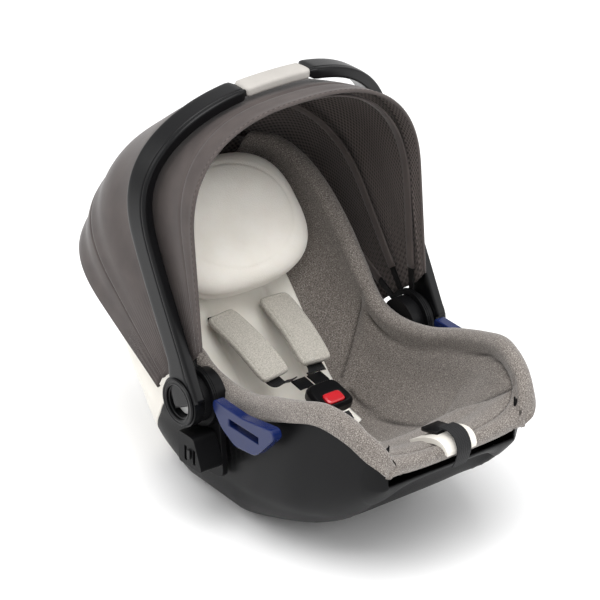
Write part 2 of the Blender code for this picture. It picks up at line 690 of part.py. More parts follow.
# ---- canopy -------------------------------------------------------------------------------------
# Each row: the foot's y and z at the side, the crown's y and z, roundness, straight share.
CANOPY_ARCHES = [
    (-0.018, 0.075, 0.010, 0.3755, 2.53, 0.50),
    (0.002, 0.052, 0.098, 0.3640, 2.55, 0.48),
    (0.026, 0.034, 0.184, 0.3290, 2.60, 0.46),
    (0.050, 0.015, 0.256, 0.2760, 2.70, 0.45),
    (0.070, -0.001, 0.3145, 0.2040, 2.65, 0.45),
    (0.077, -0.011, 0.3350, 0.1660, 2.70, 0.45),
    (0.082, -0.020, 0.3460, 0.1340, 2.75, 0.46),
]
SEAM = 4.0                # the rear panel's seam, counted in arches


def canopy_grid(t, steps=11):
    """The canopy's outer surface: arches from side to side, one for each arch number in t."""
    angle = np.linspace(0, pi / 2, steps)
    rows = []
    for fy, fz, cy, cz, power, straight in along(CANOPY_ARCHES, t):
        reach = (np.cos(angle)**power + np.sin(angle)**power)**(-1 / power)
        x = CANOPY_HALF_WIDTH * reach * np.cos(angle)
        up = straight + (1 - straight) * reach * np.sin(angle)
        leg = np.linspace(0, straight, 5)[:-1]
        x = np.concatenate([np.full(4, CANOPY_HALF_WIDTH), x])
        up = np.concatenate([leg, up])
        x = np.concatenate([x, -x[-2::-1]])
        up = np.concatenate([up, up[-2::-1]])
        rows.append(np.stack([x, fy + (cy - fy) * up, fz + (cz - fz) * up], axis=1))
    return np.array(rows)


def canopy_cloth():
    """The folding hood and the fixed rear panel."""
    for name, start, end, rows in (("canopy_hood", 0.0, SEAM - 0.006, 12),
                                   ("canopy_rear_panel", SEAM + 0.006, 6.0, 7)):
        outer = canopy_grid(np.linspace(start, end, rows))
        normal = grid_normals(outer)
        if np.sum(normal[rows // 2, 14] * (0, 0.3, 1)) < 0:
            normal = -normal
        smooth(add(name, sheet_mesh(outer, outer - CLOTH * normal), MESH))


def canopy_bow(name, angle, layer, power):
    """A thin flat bow in a plane through the hub axis, on a ring round each hub drum."""
    half = 0.1862 - 0.0030 * layer
    top = 0.3650 - 0.0040 * layer
    shoulder = 0.185
    width, thickness = 0.010, 0.0020
    t = np.linspace(0, pi / 2, 11)
    reach = (np.cos(t)**power + np.sin(t)**power)**(-1 / power)
    x = np.concatenate([np.full(4, half), half * reach * np.cos(t)])
    r = np.concatenate([np.linspace(0.0385, shoulder, 5)[:-1],
                        shoulder + (top - shoulder) * reach * np.sin(t)])
    x = np.concatenate([x, -x[-2::-1]])
    r = np.concatenate([r, r[-2::-1]])
    tilt = Matrix.Rotation(-radians(angle), 4, "X")
    route = np.stack([x, np.zeros(len(x)), r], axis=1)
    ahead = np.gradient(route, axis=0)
    ahead /= np.linalg.norm(ahead, axis=1, keepdims=True)
    side = np.tile((0.0, 1.0, 0.0), (len(x), 1))
    up = np.cross(side, ahead)
    a, b = side * width / 2, up * thickness / 2
    mesh = loft_mesh(np.stack([route - a - b, route + a - b, route + a + b, route - a + b], 1))
    mesh.transform(tilt)
    bow = add(name, mesh, BLACK)
    for sign, end in ((1, "left"), (-1, "right")):
        eye = disc_mesh((half * sign, 0, 0), 0.0425, 0.0022, 28)
        boolean(bow, eye, "UNION", f"{name}_eye_{end}")
    hole = disc_mesh((0, 0, 0), 0.0350, 0.6, 28)
    boolean(bow, hole, "DIFFERENCE", f"{name}_hole")
    smooth(bow, 30)


# ---- rear release lever -------------------------------------------------------------------------
def rear_lever():
    """Pull lever on the back shell that frees the seat from its base."""
    lever = box_mesh((0, 0.2785, -0.0235), (0.100, 0.034, 0.010), radians(51))
    bevel(add("rear_release_lever", lever, BLACK, origin=(0, 0.2785, -0.0235)), 0.003, 2)


seat_cover()
shells()
foam_liner()
infant_insert()
headrest()
for SIDE, NAME in ((1, "left"), (-1, "right")):
    shoulder_harness(SIDE, NAME)
    hub_parts(SIDE, NAME)
    adapter_socket(SIDE, NAME)
    belt_guide(SIDE, NAME)
buckle()
adjuster()
handle()
canopy_cloth()
for LAYER, (NAME, ANGLE, POWER) in enumerate((("canopy_bow_front", 5, 2.5),
                                              ("canopy_bow_middle", 35, 2.5),
                                              ("canopy_bow_rear", 63, 3.6))):
    canopy_bow(NAME, ANGLE, LAYER, POWER)
rear_lever()
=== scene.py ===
"""Looks of the infant car seat: sewn cover, insert, harness, canopy, handle and moulded shells.

Every surface is worked out about the handle's axle, x to the child's left, y to the head end and z
up, in metres, and then lifted to the axle's place in the frame.
"""

import json

import bmesh
import bpy
import numpy as np
from mathutils import Matrix, Vector

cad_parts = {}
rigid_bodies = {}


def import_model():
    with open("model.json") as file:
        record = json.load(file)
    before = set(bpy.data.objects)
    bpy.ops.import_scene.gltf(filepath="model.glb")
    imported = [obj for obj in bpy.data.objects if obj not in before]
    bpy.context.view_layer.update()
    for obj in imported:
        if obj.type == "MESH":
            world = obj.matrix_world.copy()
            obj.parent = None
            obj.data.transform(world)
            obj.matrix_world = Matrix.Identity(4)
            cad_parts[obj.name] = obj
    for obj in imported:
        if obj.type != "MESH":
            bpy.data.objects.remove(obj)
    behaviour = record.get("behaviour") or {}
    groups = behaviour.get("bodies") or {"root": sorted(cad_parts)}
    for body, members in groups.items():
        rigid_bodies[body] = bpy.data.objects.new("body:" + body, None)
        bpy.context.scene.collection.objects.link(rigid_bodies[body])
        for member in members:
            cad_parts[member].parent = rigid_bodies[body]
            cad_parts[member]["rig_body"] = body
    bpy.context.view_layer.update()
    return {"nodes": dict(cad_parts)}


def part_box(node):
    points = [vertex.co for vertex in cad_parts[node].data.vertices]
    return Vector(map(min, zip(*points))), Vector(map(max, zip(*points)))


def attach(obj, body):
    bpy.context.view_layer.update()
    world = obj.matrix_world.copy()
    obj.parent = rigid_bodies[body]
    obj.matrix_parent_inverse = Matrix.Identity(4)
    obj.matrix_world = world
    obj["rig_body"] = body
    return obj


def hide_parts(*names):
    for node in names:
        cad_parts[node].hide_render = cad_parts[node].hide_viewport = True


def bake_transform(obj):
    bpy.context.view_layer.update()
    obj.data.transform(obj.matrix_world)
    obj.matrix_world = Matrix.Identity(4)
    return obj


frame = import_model()

# ---- Studio -------------------------------------------------------------------------------------
# A long lens stands high at the foot end, to the right of the child. The floor and the air are
# pale, and three large soft lamps stand above, in front and behind.
ring_low, ring_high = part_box("hub_ring_left")
AXLE = np.array((0.0, (ring_low.y + ring_high.y) / 2, (ring_low.z + ring_high.z) / 2))


def place_camera(azimuth, elevation, aim, distance, lens):
    """A camera that looks at the aim point; its back points along the two angles."""
    azimuth, elevation = np.radians(azimuth), np.radians(elevation)
    back = Vector((np.sin(azimuth) * np.cos(elevation), -np.cos(azimuth) * np.cos(elevation),
                   np.sin(elevation)))
    right = Vector((np.cos(azimuth), np.sin(azimuth), 0))
    up = back.cross(right)
    camera = bpy.data.objects.new("camera", bpy.data.cameras.new("camera"))
    camera.data.lens = lens
    camera.data.sensor_width = 36
    turn = Matrix((right, up, back)).transposed().to_4x4()
    camera.matrix_world = Matrix.Translation(Vector(aim) + back * distance) @ turn
    bpy.context.scene.collection.objects.link(camera)
    return camera


bpy.context.scene.camera = place_camera(-37.7, 27.0, AXLE + (-0.0155, -0.004, 0.0911), 4.44, 198)


def place_lamp(name, spot, size, power):
    """A square soft lamp at a spot over the seat, facing it."""
    lamp = bpy.data.objects.new(name, bpy.data.lights.new(name, "AREA"))
    lamp.data.size = size
    lamp.data.energy = power
    lamp.location = spot
    lamp.rotation_euler = (Vector((0, 0, 0.25)) - Vector(spot)).to_track_quat("-Z", "Y").to_euler()
    bpy.context.scene.collection.objects.link(lamp)


place_lamp("lamp_above", (-0.5, -0.7, 2.7), 2.4, 76)
place_lamp("lamp_front", (1.9, -2.2, 1.5), 1.6, 16)
place_lamp("lamp_back", (-2.2, 1.4, 1.6), 1.2, 12)

air = bpy.data.worlds.new("studio_air")
air.use_nodes = True
air.node_tree.nodes["Background"].inputs["Color"].default_value = (1.0, 1.0, 1.0, 1)
air.node_tree.nodes["Background"].inputs["Strength"].default_value = 0.84
bpy.context.scene.world = air
bpy.context.scene.view_settings.view_transform = "Standard"

bpy.ops.mesh.primitive_plane_add(size=30)
floor = bpy.context.object
floor.name = "floor"
paint = bpy.data.materials.new("floor_paint")
paint.use_nodes = True
paint.node_tree.nodes["Principled BSDF"].inputs["Base Color"].default_value = (0.97, 0.97, 0.97, 1)
paint.node_tree.nodes["Principled BSDF"].inputs["Roughness"].default_value = 0.9
floor.data.materials.append(paint)

# ---- Bucket cover -------------------------------------------------------------------------------
# The seat's main cover is a salt-and-pepper knit over thin foam. It lines the bucket, rolls over
# the rim and is tucked round the shell's edge. Seams run inside the rim, beside the seat and
# up each side where the seat meets the back.
COVER_STATIONS = [  # bottom y and z, rim y and z, half width at the rim, length of the hem
    (-0.312, -0.012, -0.315, 0.004, 0.104, 0.004),
    (-0.318, 0.000, -0.312, 0.021, 0.116, 0.010),
    (-0.306, 0.006, -0.299, 0.042, 0.129, 0.014),
    (-0.278, -0.004, -0.270, 0.062, 0.140, 0.014),
    (-0.226, -0.038, -0.230, 0.070, 0.150, 0.014),
    (-0.164, -0.085, -0.186, 0.058, 0.157, 0.016),
    (-0.100, -0.118, -0.130, 0.040, 0.158, 0.020),
    (-0.040, -0.134, -0.072, 0.020, 0.1535, 0.012),
    (0.015, -0.132, -0.012, 0.014, 0.1485, 0.004),
    (0.062, -0.098, 0.034, 0.026, 0.1480, 0.004),
    (0.112, -0.048, 0.074, 0.066, 0.151, 0.006),
    (0.160, 0.000, 0.112, 0.110, 0.152, 0.010),
    (0.208, 0.048, 0.156, 0.154, 0.149, 0.012),
    (0.252, 0.092, 0.201, 0.187, 0.141, 0.012),
    (0.284, 0.128, 0.240, 0.204, 0.126, 0.010),
    (0.294, 0.154, 0.267, 0.206, 0.104, 0.006),
]
COVER_ROUNDNESS = 2.6
RIM_ROLL = 0.009
COVER_THICKNESS = 0.0045


def through(keys, at):
    """Catmull-Rom curve through the rows of keys, at key numbers counted from 0."""
    keys = np.asarray(keys, float)
    at = np.asarray(at, float)
    i = np.clip(at.astype(int), 0, len(keys) - 2)
    f = (at - i)[:, None]
    k = np.vstack([2 * keys[0] - keys[1], keys, 2 * keys[-1] - keys[-2]])
    a, b, c, d = k[i], k[i + 1], k[i + 2], k[i + 3]
    return 0.5 * (2 * b + (c - a) * f + (2 * a - 5 * b + 4 * c - d) * f**2
                  + (3 * b - a - 3 * c + d) * f**3)


def unit(vectors):
    """Vectors along the last axis, each made 1 long."""
    return vectors / np.maximum(np.linalg.norm(vectors, axis=-1, keepdims=True), 1e-9)


def square_off(grid):
    """Unit normals of a grid: the cross product of its slopes along columns and rows."""
    return unit(np.cross(np.gradient(grid, axis=1), np.gradient(grid, axis=0)))


def run_along(grid, axis):
    """Distance in metres walked along one way of a grid, from its first row or column."""
    step = np.linalg.norm(np.diff(grid, axis=axis), axis=2)
    start = np.zeros_like(np.take(step, [0], axis=axis))
    return np.concatenate([start, np.cumsum(step, axis=axis)], axis=axis)


def skin(name, grid, ring=False, flip=False):
    """Mesh over a grid of points, given about the axle; a ring closes the columns and caps the
    ends. Its UV map holds metres: across the columns and down the rows."""
    rows, cols, _ = grid.shape
    i, j = np.meshgrid(np.arange(rows - 1), np.arange(cols if ring else cols - 1), indexing="ij")
    k = (j + 1) % cols
    quads = np.stack([i * cols + j, i * cols + k, (i + 1) * cols + k, (i + 1) * cols + j], -1)
    quads = quads.reshape(-1, 4)
    wide = np.concatenate([grid, grid[:, :1]], axis=1) if ring else grid
    across = np.broadcast_to(run_along(wide, 1)[rows // 2], (rows, wide.shape[1]))
    down = np.broadcast_to(run_along(wide, 0)[:, wide.shape[1] // 2, None], across.shape)
    flat = np.stack([across, down], -1)
    corners = np.stack([flat[i, j], flat[i, j + 1], flat[i + 1, j + 1], flat[i + 1, j]], -2)
    corners = corners.reshape(-1, 4, 2)
    if flip:
        quads, corners = quads[:, ::-1], corners[:, ::-1]
    mesh = bpy.data.meshes.new(name)
    faces = quads.tolist()
    if ring:
        first, last = list(range(cols)), [(rows - 1) * cols + c for c in range(cols)]
        faces += [first if flip else first[::-1], last[::-1] if flip else last]
    mesh.from_pydata((grid.reshape(-1, 3) + AXLE).tolist(), [], faces)
    layer = mesh.uv_layers.new(name="cloth")
    values = np.zeros((len(layer.data), 2), np.float32)
    values[:len(corners) * 4] = corners.reshape(-1, 2)
    layer.data.foreach_set("uv", values.ravel())
    mesh.shade_smooth()
    piece = bpy.data.objects.new(name, mesh)
    bpy.context.scene.collection.objects.link(piece)
    return piece


def wall(piece, thickness, lining=0, binding=0):
    """Give a sheet its thickness, inwards from the surface that was drawn."""
    solid = piece.modifiers.new("thickness", "SOLIDIFY")
    solid.thickness = thickness
    solid.offset = -1
    solid.material_offset = lining
    solid.material_offset_rim = binding
    return piece


def finish(name, colour, roughness, **sockets):
    """A Principled material with its constants set on the shader, and its parts for more nodes."""
    material = bpy.data.materials.new(name)
    material.use_nodes = True
    tree = material.node_tree
    principled = tree.nodes["Principled BSDF"]
    principled.inputs["Base Color"].default_value = (*colour, 1)
    principled.inputs["Roughness"].default_value = roughness
    for socket, value in sockets.items():
        principled.inputs[socket.replace("_", " ")].default_value = value
    return material, tree, principled


def node(tree, kind, inputs=None, **settings):
    """Add one node, with its settings, and its inputs linked or given a value."""
    made = tree.nodes.new(kind)
    for key, value in settings.items():
        setattr(made, key, value)
    for key, value in (inputs or {}).items():
        if isinstance(value, bpy.types.NodeSocket):
            tree.links.new(value, made.inputs[key])
        else:
            made.inputs[key].default_value = value
    return made


def shades(tree, factor, stops):
    """Colour ramp: (place, colour) stops along a factor."""
    ramp = node(tree, "ShaderNodeValToRGB", {"Fac": factor})
    while len(ramp.color_ramp.elements) < len(stops):
        ramp.color_ramp.elements.new(0.5)
    for element, (place, colour) in zip(ramp.color_ramp.elements, stops):
        element.position = place
        element.color = (*colour, 1)
    return ramp.outputs["Color"]


def times(tree, first, second):
    """One colour multiplied by another."""
    mix = tree.nodes.new("ShaderNodeMix")
    mix.data_type = "RGBA"
    mix.blend_type = "MULTIPLY"
    mix.inputs["Factor"].default_value = 1.0
    tree.links.new(first, mix.inputs[6])
    tree.links.new(second, mix.inputs[7])
    return mix.outputs[2]


def raise_bump(tree, principled, height, distance, strength=1.0):
    """Bump a surface by a height."""
    bump = node(tree, "ShaderNodeBump", {"Height": height, "Distance": distance,
                                         "Strength": strength})
    tree.links.new(bump.outputs["Normal"], principled.inputs["Normal"])


def melange_knit():
    """Knit of dark, mid and pale yarn: fine noise picks the yarn, and a slow one the fading. The seam
    attribute paints shade into the sunk seams.
    """
    material, tree, principled = finish("melange_knit", (0.27, 0.24, 0.21), 0.95,
                                        Sheen_Weight=0.25, Sheen_Roughness=0.5)
    place = node(tree, "ShaderNodeTexCoord").outputs["Object"]
    fleck = node(tree, "ShaderNodeTexNoise", {"Vector": place, "Scale": 760.0, "Detail": 2.0,
                                              "Roughness": 0.65})
    loop = node(tree, "ShaderNodeTexVoronoi", {"Vector": place, "Scale": 560.0})
    patch = node(tree, "ShaderNodeTexNoise", {"Vector": place, "Scale": 14.0, "Detail": 3.0})
    yarn = shades(tree, fleck.outputs["Fac"],
                  [(0.33, (0.060, 0.050, 0.044)), (0.46, (0.150, 0.130, 0.116)),
                   (0.56, (0.210, 0.186, 0.166)), (0.70, (0.430, 0.400, 0.365))])
    faded = shades(tree, patch.outputs["Fac"], [(0.3, (0.90, 0.90, 0.90)), (0.7, (1.0, 1.0, 1.0))])
    # Painted shade: the seam attribute darkens the knit along the sunk seams.
    seam = node(tree, "ShaderNodeAttribute", attribute_name="seam")
    shadow = shades(tree, seam.outputs["Fac"], [(0.0, (1.0, 1.0, 1.0)), (1.0, (0.20, 0.18, 0.17))])
    tone_and_seam_shade = times(tree, yarn, faded)
    tree.links.new(times(tree, tone_and_seam_shade, shadow), principled.inputs["Base Color"])
    raise_bump(tree, principled, loop.outputs["Distance"], 0.0006, 0.8)
    return material


def groove(distance, width):
    """Share of a sewn seam's pull: 1 on the seam, falling off like a bell over the width."""
    return np.exp(-(distance / width)**2)


def cover_section(half, depth, hem, steps, arcs):
    """Half a section: a superellipse up the wall, half a circle over the rim, and the hem."""
    angle = np.linspace(0, np.pi / 2, steps)
    reach = (np.cos(angle)**COVER_ROUNDNESS + np.sin(angle)**COVER_ROUNDNESS)**(-1 / COVER_ROUNDNESS)
    arc = np.linspace(np.pi, 0, arcs + 1)[1:]
    down = np.linspace(0, 1, 6)[1:]
    x = [reach * np.sin(angle) * (half - RIM_ROLL), half + RIM_ROLL * np.cos(arc),
         half + RIM_ROLL + 0.1 * hem * down]
    rise = [(1 - reach * np.cos(angle)) * (depth - RIM_ROLL), depth - RIM_ROLL + RIM_ROLL * np.sin(arc),
            depth - RIM_ROLL - hem * down]
    return np.concatenate(x), np.concatenate(rise)


def bucket(count, steps=34, arcs=8):
    """The cover's surface: sections from the front lip to the head end, each on its own lean."""
    rows = []
    for by, bz, ry, rz, half, hem in through(COVER_STATIONS, np.linspace(0, 15, count)):
        rise = np.array([ry - by, rz - bz])
        depth = np.linalg.norm(rise)
        x, w = cover_section(half, depth, max(hem, 0.001), steps, arcs)
        x = np.concatenate([-x[:0:-1], x])
        w = np.concatenate([w[:0:-1], w])
        rows.append(np.stack([x, by + rise[0] / depth * w, bz + rise[1] / depth * w], 1))
    return np.array(rows)


COVER_ROWS = 230
cover = bucket(COVER_ROWS)
HEM_LINE = -0.007                               # where the cover ends below the front lip
lip = np.linspace(0, 1, 12)[:-1, None, None]
below = cover[:1] * (0.985, 1, 0) + (0, 0.004, HEM_LINE)
cover = np.concatenate([below + (cover[:1] - below) * lip
                        - (0, 0.004, 0) * np.sin(np.pi * lip), cover])
rows, cols, _ = cover.shape
lip_rows = rows - COVER_ROWS
station = np.concatenate([np.zeros(lip_rows), np.linspace(0, 15, COVER_ROWS)])[:, None]
walk = run_along(cover, 1)
rim_at = 9                                      # columns from the hem to the top of the roll
to_rim = np.minimum(walk - walk[:, rim_at:rim_at + 1],
                    walk[:, cols - 1 - rim_at:cols - rim_at] - walk)
down_seat = run_along(cover, 0)
down_seat = down_seat - down_seat[lip_rows][None]
to_front = np.broadcast_to(down_seat[:, cols // 2, None], to_rim.shape)
SOFT_CORNER, BORDER, SEAT_HALF = 0.018, 0.032, 0.098
to_edge = -SOFT_CORNER * np.log(np.exp(-to_rim / SOFT_CORNER) + np.exp(-to_front / SOFT_CORNER))
side_x = np.abs(cover[:, :, 0])
border = np.abs(to_edge - BORDER) + 0.02 * np.clip(station - 9.0, 0, 1)
crease = np.abs(station - 5.15) * 0.050 + 0.5 * np.clip(side_x - SEAT_HALF, 0, 0.1)
seat_side = np.abs(side_x - SEAT_HALF - 0.012 * np.clip(5 - station, 0, 3))
seat_side = seat_side + 0.05 * np.clip(station - 8.4, 0, 1) + 0.5 * np.clip(BORDER - to_edge, 0, 0.1)
bend = 8.2 + 1.4 * np.clip(side_x / 0.15, 0, 1)**2
side_up = np.abs(station - bend) * (down_seat[-1] / 15)[None]
side_up = side_up + 0.5 * np.clip(SEAT_HALF - side_x, 0, 0.1) + 0.5 * np.clip(BORDER - to_rim, 0, 0.1)
nearest = np.minimum.reduce([border, seat_side, side_up, crease])
sunk = 0.0026 * groove(nearest, 0.0028) + 0.0052 * groove(nearest, 0.016)
plump = 0.012 * np.exp(-((station - 4.3) / 0.62)**4) * np.clip(1 - (side_x / 0.112)**6, 0, 1)
cover = cover + (plump - sunk)[..., None] * square_off(cover)
seat_cover_fabric = wall(skin("seat_cover_fabric", cover, flip=True), COVER_THICKNESS)
# The seam attribute marks the sunk seams, where the knit is painted darker as shade.
seam_shade_layer = seat_cover_fabric.data.attributes.new("seam", "FLOAT", "POINT")
seam_shade_layer.data.foreach_set("value", groove(nearest, 0.0028).astype(np.float32).ravel())
KNIT = melange_knit()
seat_cover_fabric.data.materials.append(KNIT)
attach(seat_cover_fabric, "shell")
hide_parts("seat_cover")


# ---- Newborn insert and crotch panel ------------------------------------------------------------
# A cream jersey insert lies in the bucket from the buckle up to the head pad. Below the buckle a
# small twill panel covers the strap's slot. Both are thin quilted pads, sewn flat at their edges.
def cover_point(stations, fractions):
    """Points inside the bucket, at fractions of its half width, on the superellipse's wall."""
    angle = np.linspace(0, np.pi / 2, 60)
    reach = (np.cos(angle)**COVER_ROUNDNESS + np.sin(angle)**COVER_ROUNDNESS)**(-1 / COVER_ROUNDNESS)
    rows = []
    for by, bz, ry, rz, half, _ in through(COVER_STATIONS, stations):
        rise = np.array([ry - by, rz - bz])
        depth = np.linalg.norm(rise)
        w = np.interp(np.abs(fractions), reach * np.sin(angle), 1 - reach * np.cos(angle))
        w = w * (depth - RIM_ROLL)
        rows.append(np.stack([fractions * (half - RIM_ROLL), by + rise[0] / depth * w,
                              bz + rise[1] / depth * w], 1))
    return np.array(rows)


def laid_pad(name, first, last, narrow, wide, low, high, quilt):
    """A thin pad on the bucket: width and thickness fall to nothing round its edge like a
    superellipse, and a quilting pull lowers its top."""
    u, v = np.linspace(-1, 1, 91), np.linspace(-1, 1, 81)
    stations = first + (last - first) * (u + 1) / 2
    half = narrow + (wide - narrow) * (u + 1) / 2
    close = (1 - np.abs(u)**9)**(1 / 9)
    surface = np.array([cover_point([s], v * h * c)[0]
                        for s, h, c in zip(stations, half, 0.80 + 0.20 * close)])
    lift = square_off(surface)
    plump = ((1 - np.abs(u[:, None])**8) * (1 - np.abs(v[None])**8))**0.5
    top = low + (high - low) * plump - quilt(u[:, None], v[None]) * plump
    under = surface + (low - 0.0012 * plump)[..., None] * lift
    over = surface + np.broadcast_to(top, plump.shape)[..., None] * lift
    closed = np.concatenate([over, under[:, -2:0:-1]], axis=1)
    return skin(name, closed, ring=True)


def cotton_jersey():
    """Cream jersey: rows of fine knitted loops, with a little fading."""
    material, tree, principled = finish("cotton_jersey", (0.88, 0.84, 0.77), 0.92,
                                        Sheen_Weight=0.35, Sheen_Roughness=0.45,
                                        Subsurface_Weight=0.04)
    place = node(tree, "ShaderNodeTexCoord").outputs["Object"]
    slow = node(tree, "ShaderNodeTexNoise", {"Vector": place, "Scale": 22.0, "Detail": 4.0})
    tone = shades(tree, slow.outputs["Fac"], [(0.3, (0.845, 0.800, 0.725)), (0.7, (0.905, 0.870, 0.805))])
    tree.links.new(tone, principled.inputs["Base Color"])
    loops = node(tree, "ShaderNodeTexVoronoi", {"Vector": place, "Scale": 640.0})
    raise_bump(tree, principled, loops.outputs["Distance"], 0.0004, 0.6)
    return material


def insert_quilting(u, v):
    """Two long channels and a cross seam where the insert bends."""
    return 0.0022 * (groove(np.abs(v) - 0.55, 0.05) + groove(u + 0.45, 0.03))


JERSEY = cotton_jersey()
insert_pad = laid_pad("infant_insert_pad", 7.35, 12.9, 0.60, 0.68, 0.0030, 0.0110, insert_quilting)
insert_pad.data.materials.append(JERSEY)
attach(insert_pad, "shell")
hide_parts("infant_insert")


def strap_twill():
    """Pale twill: slanted ribs across the cloth's own UV map, with flecks of darker yarn."""
    material, tree, principled = finish("strap_twill", (0.44, 0.42, 0.37), 0.93,
                                        Sheen_Weight=0.3, Sheen_Roughness=0.5)
    coords = node(tree, "ShaderNodeTexCoord")
    turned = node(tree, "ShaderNodeMapping", {"Vector": coords.outputs["UV"],
                                              "Rotation": (0, 0, 0.78)})
    ribs = node(tree, "ShaderNodeTexWave", {"Vector": turned.outputs["Vector"], "Scale": 160.0,
                                            "Distortion": 0.4}, wave_profile="SIN")
    fleck = node(tree, "ShaderNodeTexNoise", {"Vector": coords.outputs["Object"], "Scale": 700.0,
                                              "Detail": 1.0})
    tone = shades(tree, fleck.outputs["Fac"], [(0.3, (0.330, 0.310, 0.270)), (0.7, (0.560, 0.530, 0.475))])
    tree.links.new(tone, principled.inputs["Base Color"])
    raise_bump(tree, principled, ribs.outputs["Fac"], 0.0004, 0.7)
    return material


TWILL = strap_twill()
crotch_panel = laid_pad("crotch_panel", 4.9, 7.25, 0.36, 0.52, 0.0008, 0.0060,
                        lambda u, v: 0.0012 * groove(np.maximum(np.abs(u), np.abs(v)) - 0.86, 0.04))
crotch_panel.data.materials.append(TWILL)
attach(crotch_panel, "shell")


# ---- Head pad -----------------------------------------------------------------------------------
# A deep cream pillow on a thin board. It slides up the back with the harness. Its front is dished
# for the head, and a seam joins the front panel to the side band.
def back_frame(x, s, w):
    """A point on the back, which leans 45 degrees: s up its slope and w square off the cover."""
    root = 2**0.5
    line = 0.160
    return np.stack(np.broadcast_arrays(x, (s - w) / root + line / 2, (s + w) / root - line / 2), -1)


def head_pillow():
    """A superellipsoid over its own latitude and longitude, dished in front and pulled at a seam."""
    turn = np.linspace(0, 2 * np.pi, 145)[:-1]
    tip = np.linspace(0.012, np.pi - 0.012, 97)[:, None]
    power = 0.72

    def bent(value):
        return np.sign(value) * np.abs(value)**power

    x = bent(np.sin(tip)) * bent(np.cos(turn))[None]
    s = bent(np.sin(tip)) * bent(np.sin(turn))[None]
    w = bent(np.cos(tip)) + 0 * x
    across = np.sqrt(x**2 + s**2)
    dish = 0.20 * np.exp(-((x / 0.50)**2 + ((s + 0.12) / 0.55)**2)) * (w > 0)
    seam = groove(across - 0.80, 0.025) * (w > 0) + groove(w - 0.05, 0.05)
    size = 1 - 0.016 * np.clip(seam, 0, 1)
    return back_frame(0.122 * x * size, 0.222 + 0.098 * s * size, 0.0665 + 0.0445 * (w - dish) * size)


head_pad = skin("head_pad_pillow", head_pillow(), ring=True, flip=True)
head_pad.data.materials.append(JERSEY)
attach(head_pad, "headrest")
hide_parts("headrest_pad")


# ---- Shoulder pads and harness webbing ----------------------------------------------------------
# Two padded sleeves in pale twill lie over the straps, bound round their edge. The straps, the
# crotch strap and the pull strap at the front are ribbed black polyester webbing.
def strap_frames(route):
    """Side and upward directions at each point of a strap whose width lies across x."""
    ahead = unit(np.gradient(route, axis=0))
    side = np.tile((1.0, 0, 0), (len(route), 1))
    side = unit(side - ahead * np.sum(side * ahead, axis=1, keepdims=True))
    return side, np.cross(side, ahead)


def strap_sleeve(name, top, end):
    """A pad along a strap: its section is a superellipse that shrinks at both ends like another,
    and a stitched line runs just inside its edge."""
    u = np.linspace(-1, 1, 101)
    route = through([top, (np.array(top) + end) / 2 + (0, -0.003, 0.004), end], u + 1)
    side, up = strap_frames(route)
    turn = np.linspace(0, 2 * np.pi, 97)[:-1]
    close = (1 - np.abs(u)**7)**(1 / 7)
    across = np.sign(np.cos(turn)) * np.abs(np.cos(turn))**0.42
    rise = np.sign(np.sin(turn)) * np.abs(np.sin(turn))**0.75
    edge = np.maximum(np.abs(across)[None], np.abs(u)[:, None]**1.6 * np.ones_like(across)[None])
    stitch = 1 - 0.20 * groove(edge - 0.83, 0.035)
    wide = 0.0250 * across[None] * (0.30 + 0.70 * close)[:, None]
    high = 0.0062 * rise[None] * close[:, None] * stitch
    return skin(name, route[:, None] + side[:, None] * wide[..., None] + up[:, None] * high[..., None],
                ring=True)


def webbing(name, route, width, thickness):
    """A flat band along a route, with rounded edges: a superellipse carried along the curve."""
    route = through(route, np.linspace(0, len(route) - 1, 16 * len(route)))
    side, up = strap_frames(route)
    turn = np.linspace(0, 2 * np.pi, 25)[:-1]
    across = np.sign(np.cos(turn)) * np.abs(np.cos(turn))**0.25 * width / 2
    rise = np.sign(np.sin(turn)) * np.abs(np.sin(turn))**0.6 * thickness / 2
    return skin(name, route[:, None] + side[:, None] * across[None, :, None]
                + up[:, None] * rise[None, :, None], ring=True)


def ribbed_webbing():
    """Black polyester: lengthwise ribs and fine cross threads over the band's UV map."""
    material, tree, principled = finish("ribbed_webbing", (0.010, 0.010, 0.011), 0.62,
                                        Specular_IOR_Level=0.25)
    coords = node(tree, "ShaderNodeTexCoord").outputs["UV"]
    long_ribs = node(tree, "ShaderNodeTexWave", {"Vector": coords, "Scale": 95.0},
                     bands_direction="X")
    threads = node(tree, "ShaderNodeTexWave", {"Vector": coords, "Scale": 170.0},
                   bands_direction="Y")
    height = node(tree, "ShaderNodeMath", {0: long_ribs.outputs["Fac"], 1: threads.outputs["Fac"]},
                  operation="ADD")
    tone = shades(tree, threads.outputs["Fac"], [(0.0, (0.006, 0.006, 0.007)), (1.0, (0.016, 0.016, 0.017))])
    tree.links.new(tone, principled.inputs["Base Color"])
    raise_bump(tree, principled, height.outputs["Value"], 0.0003, 0.8)
    return material


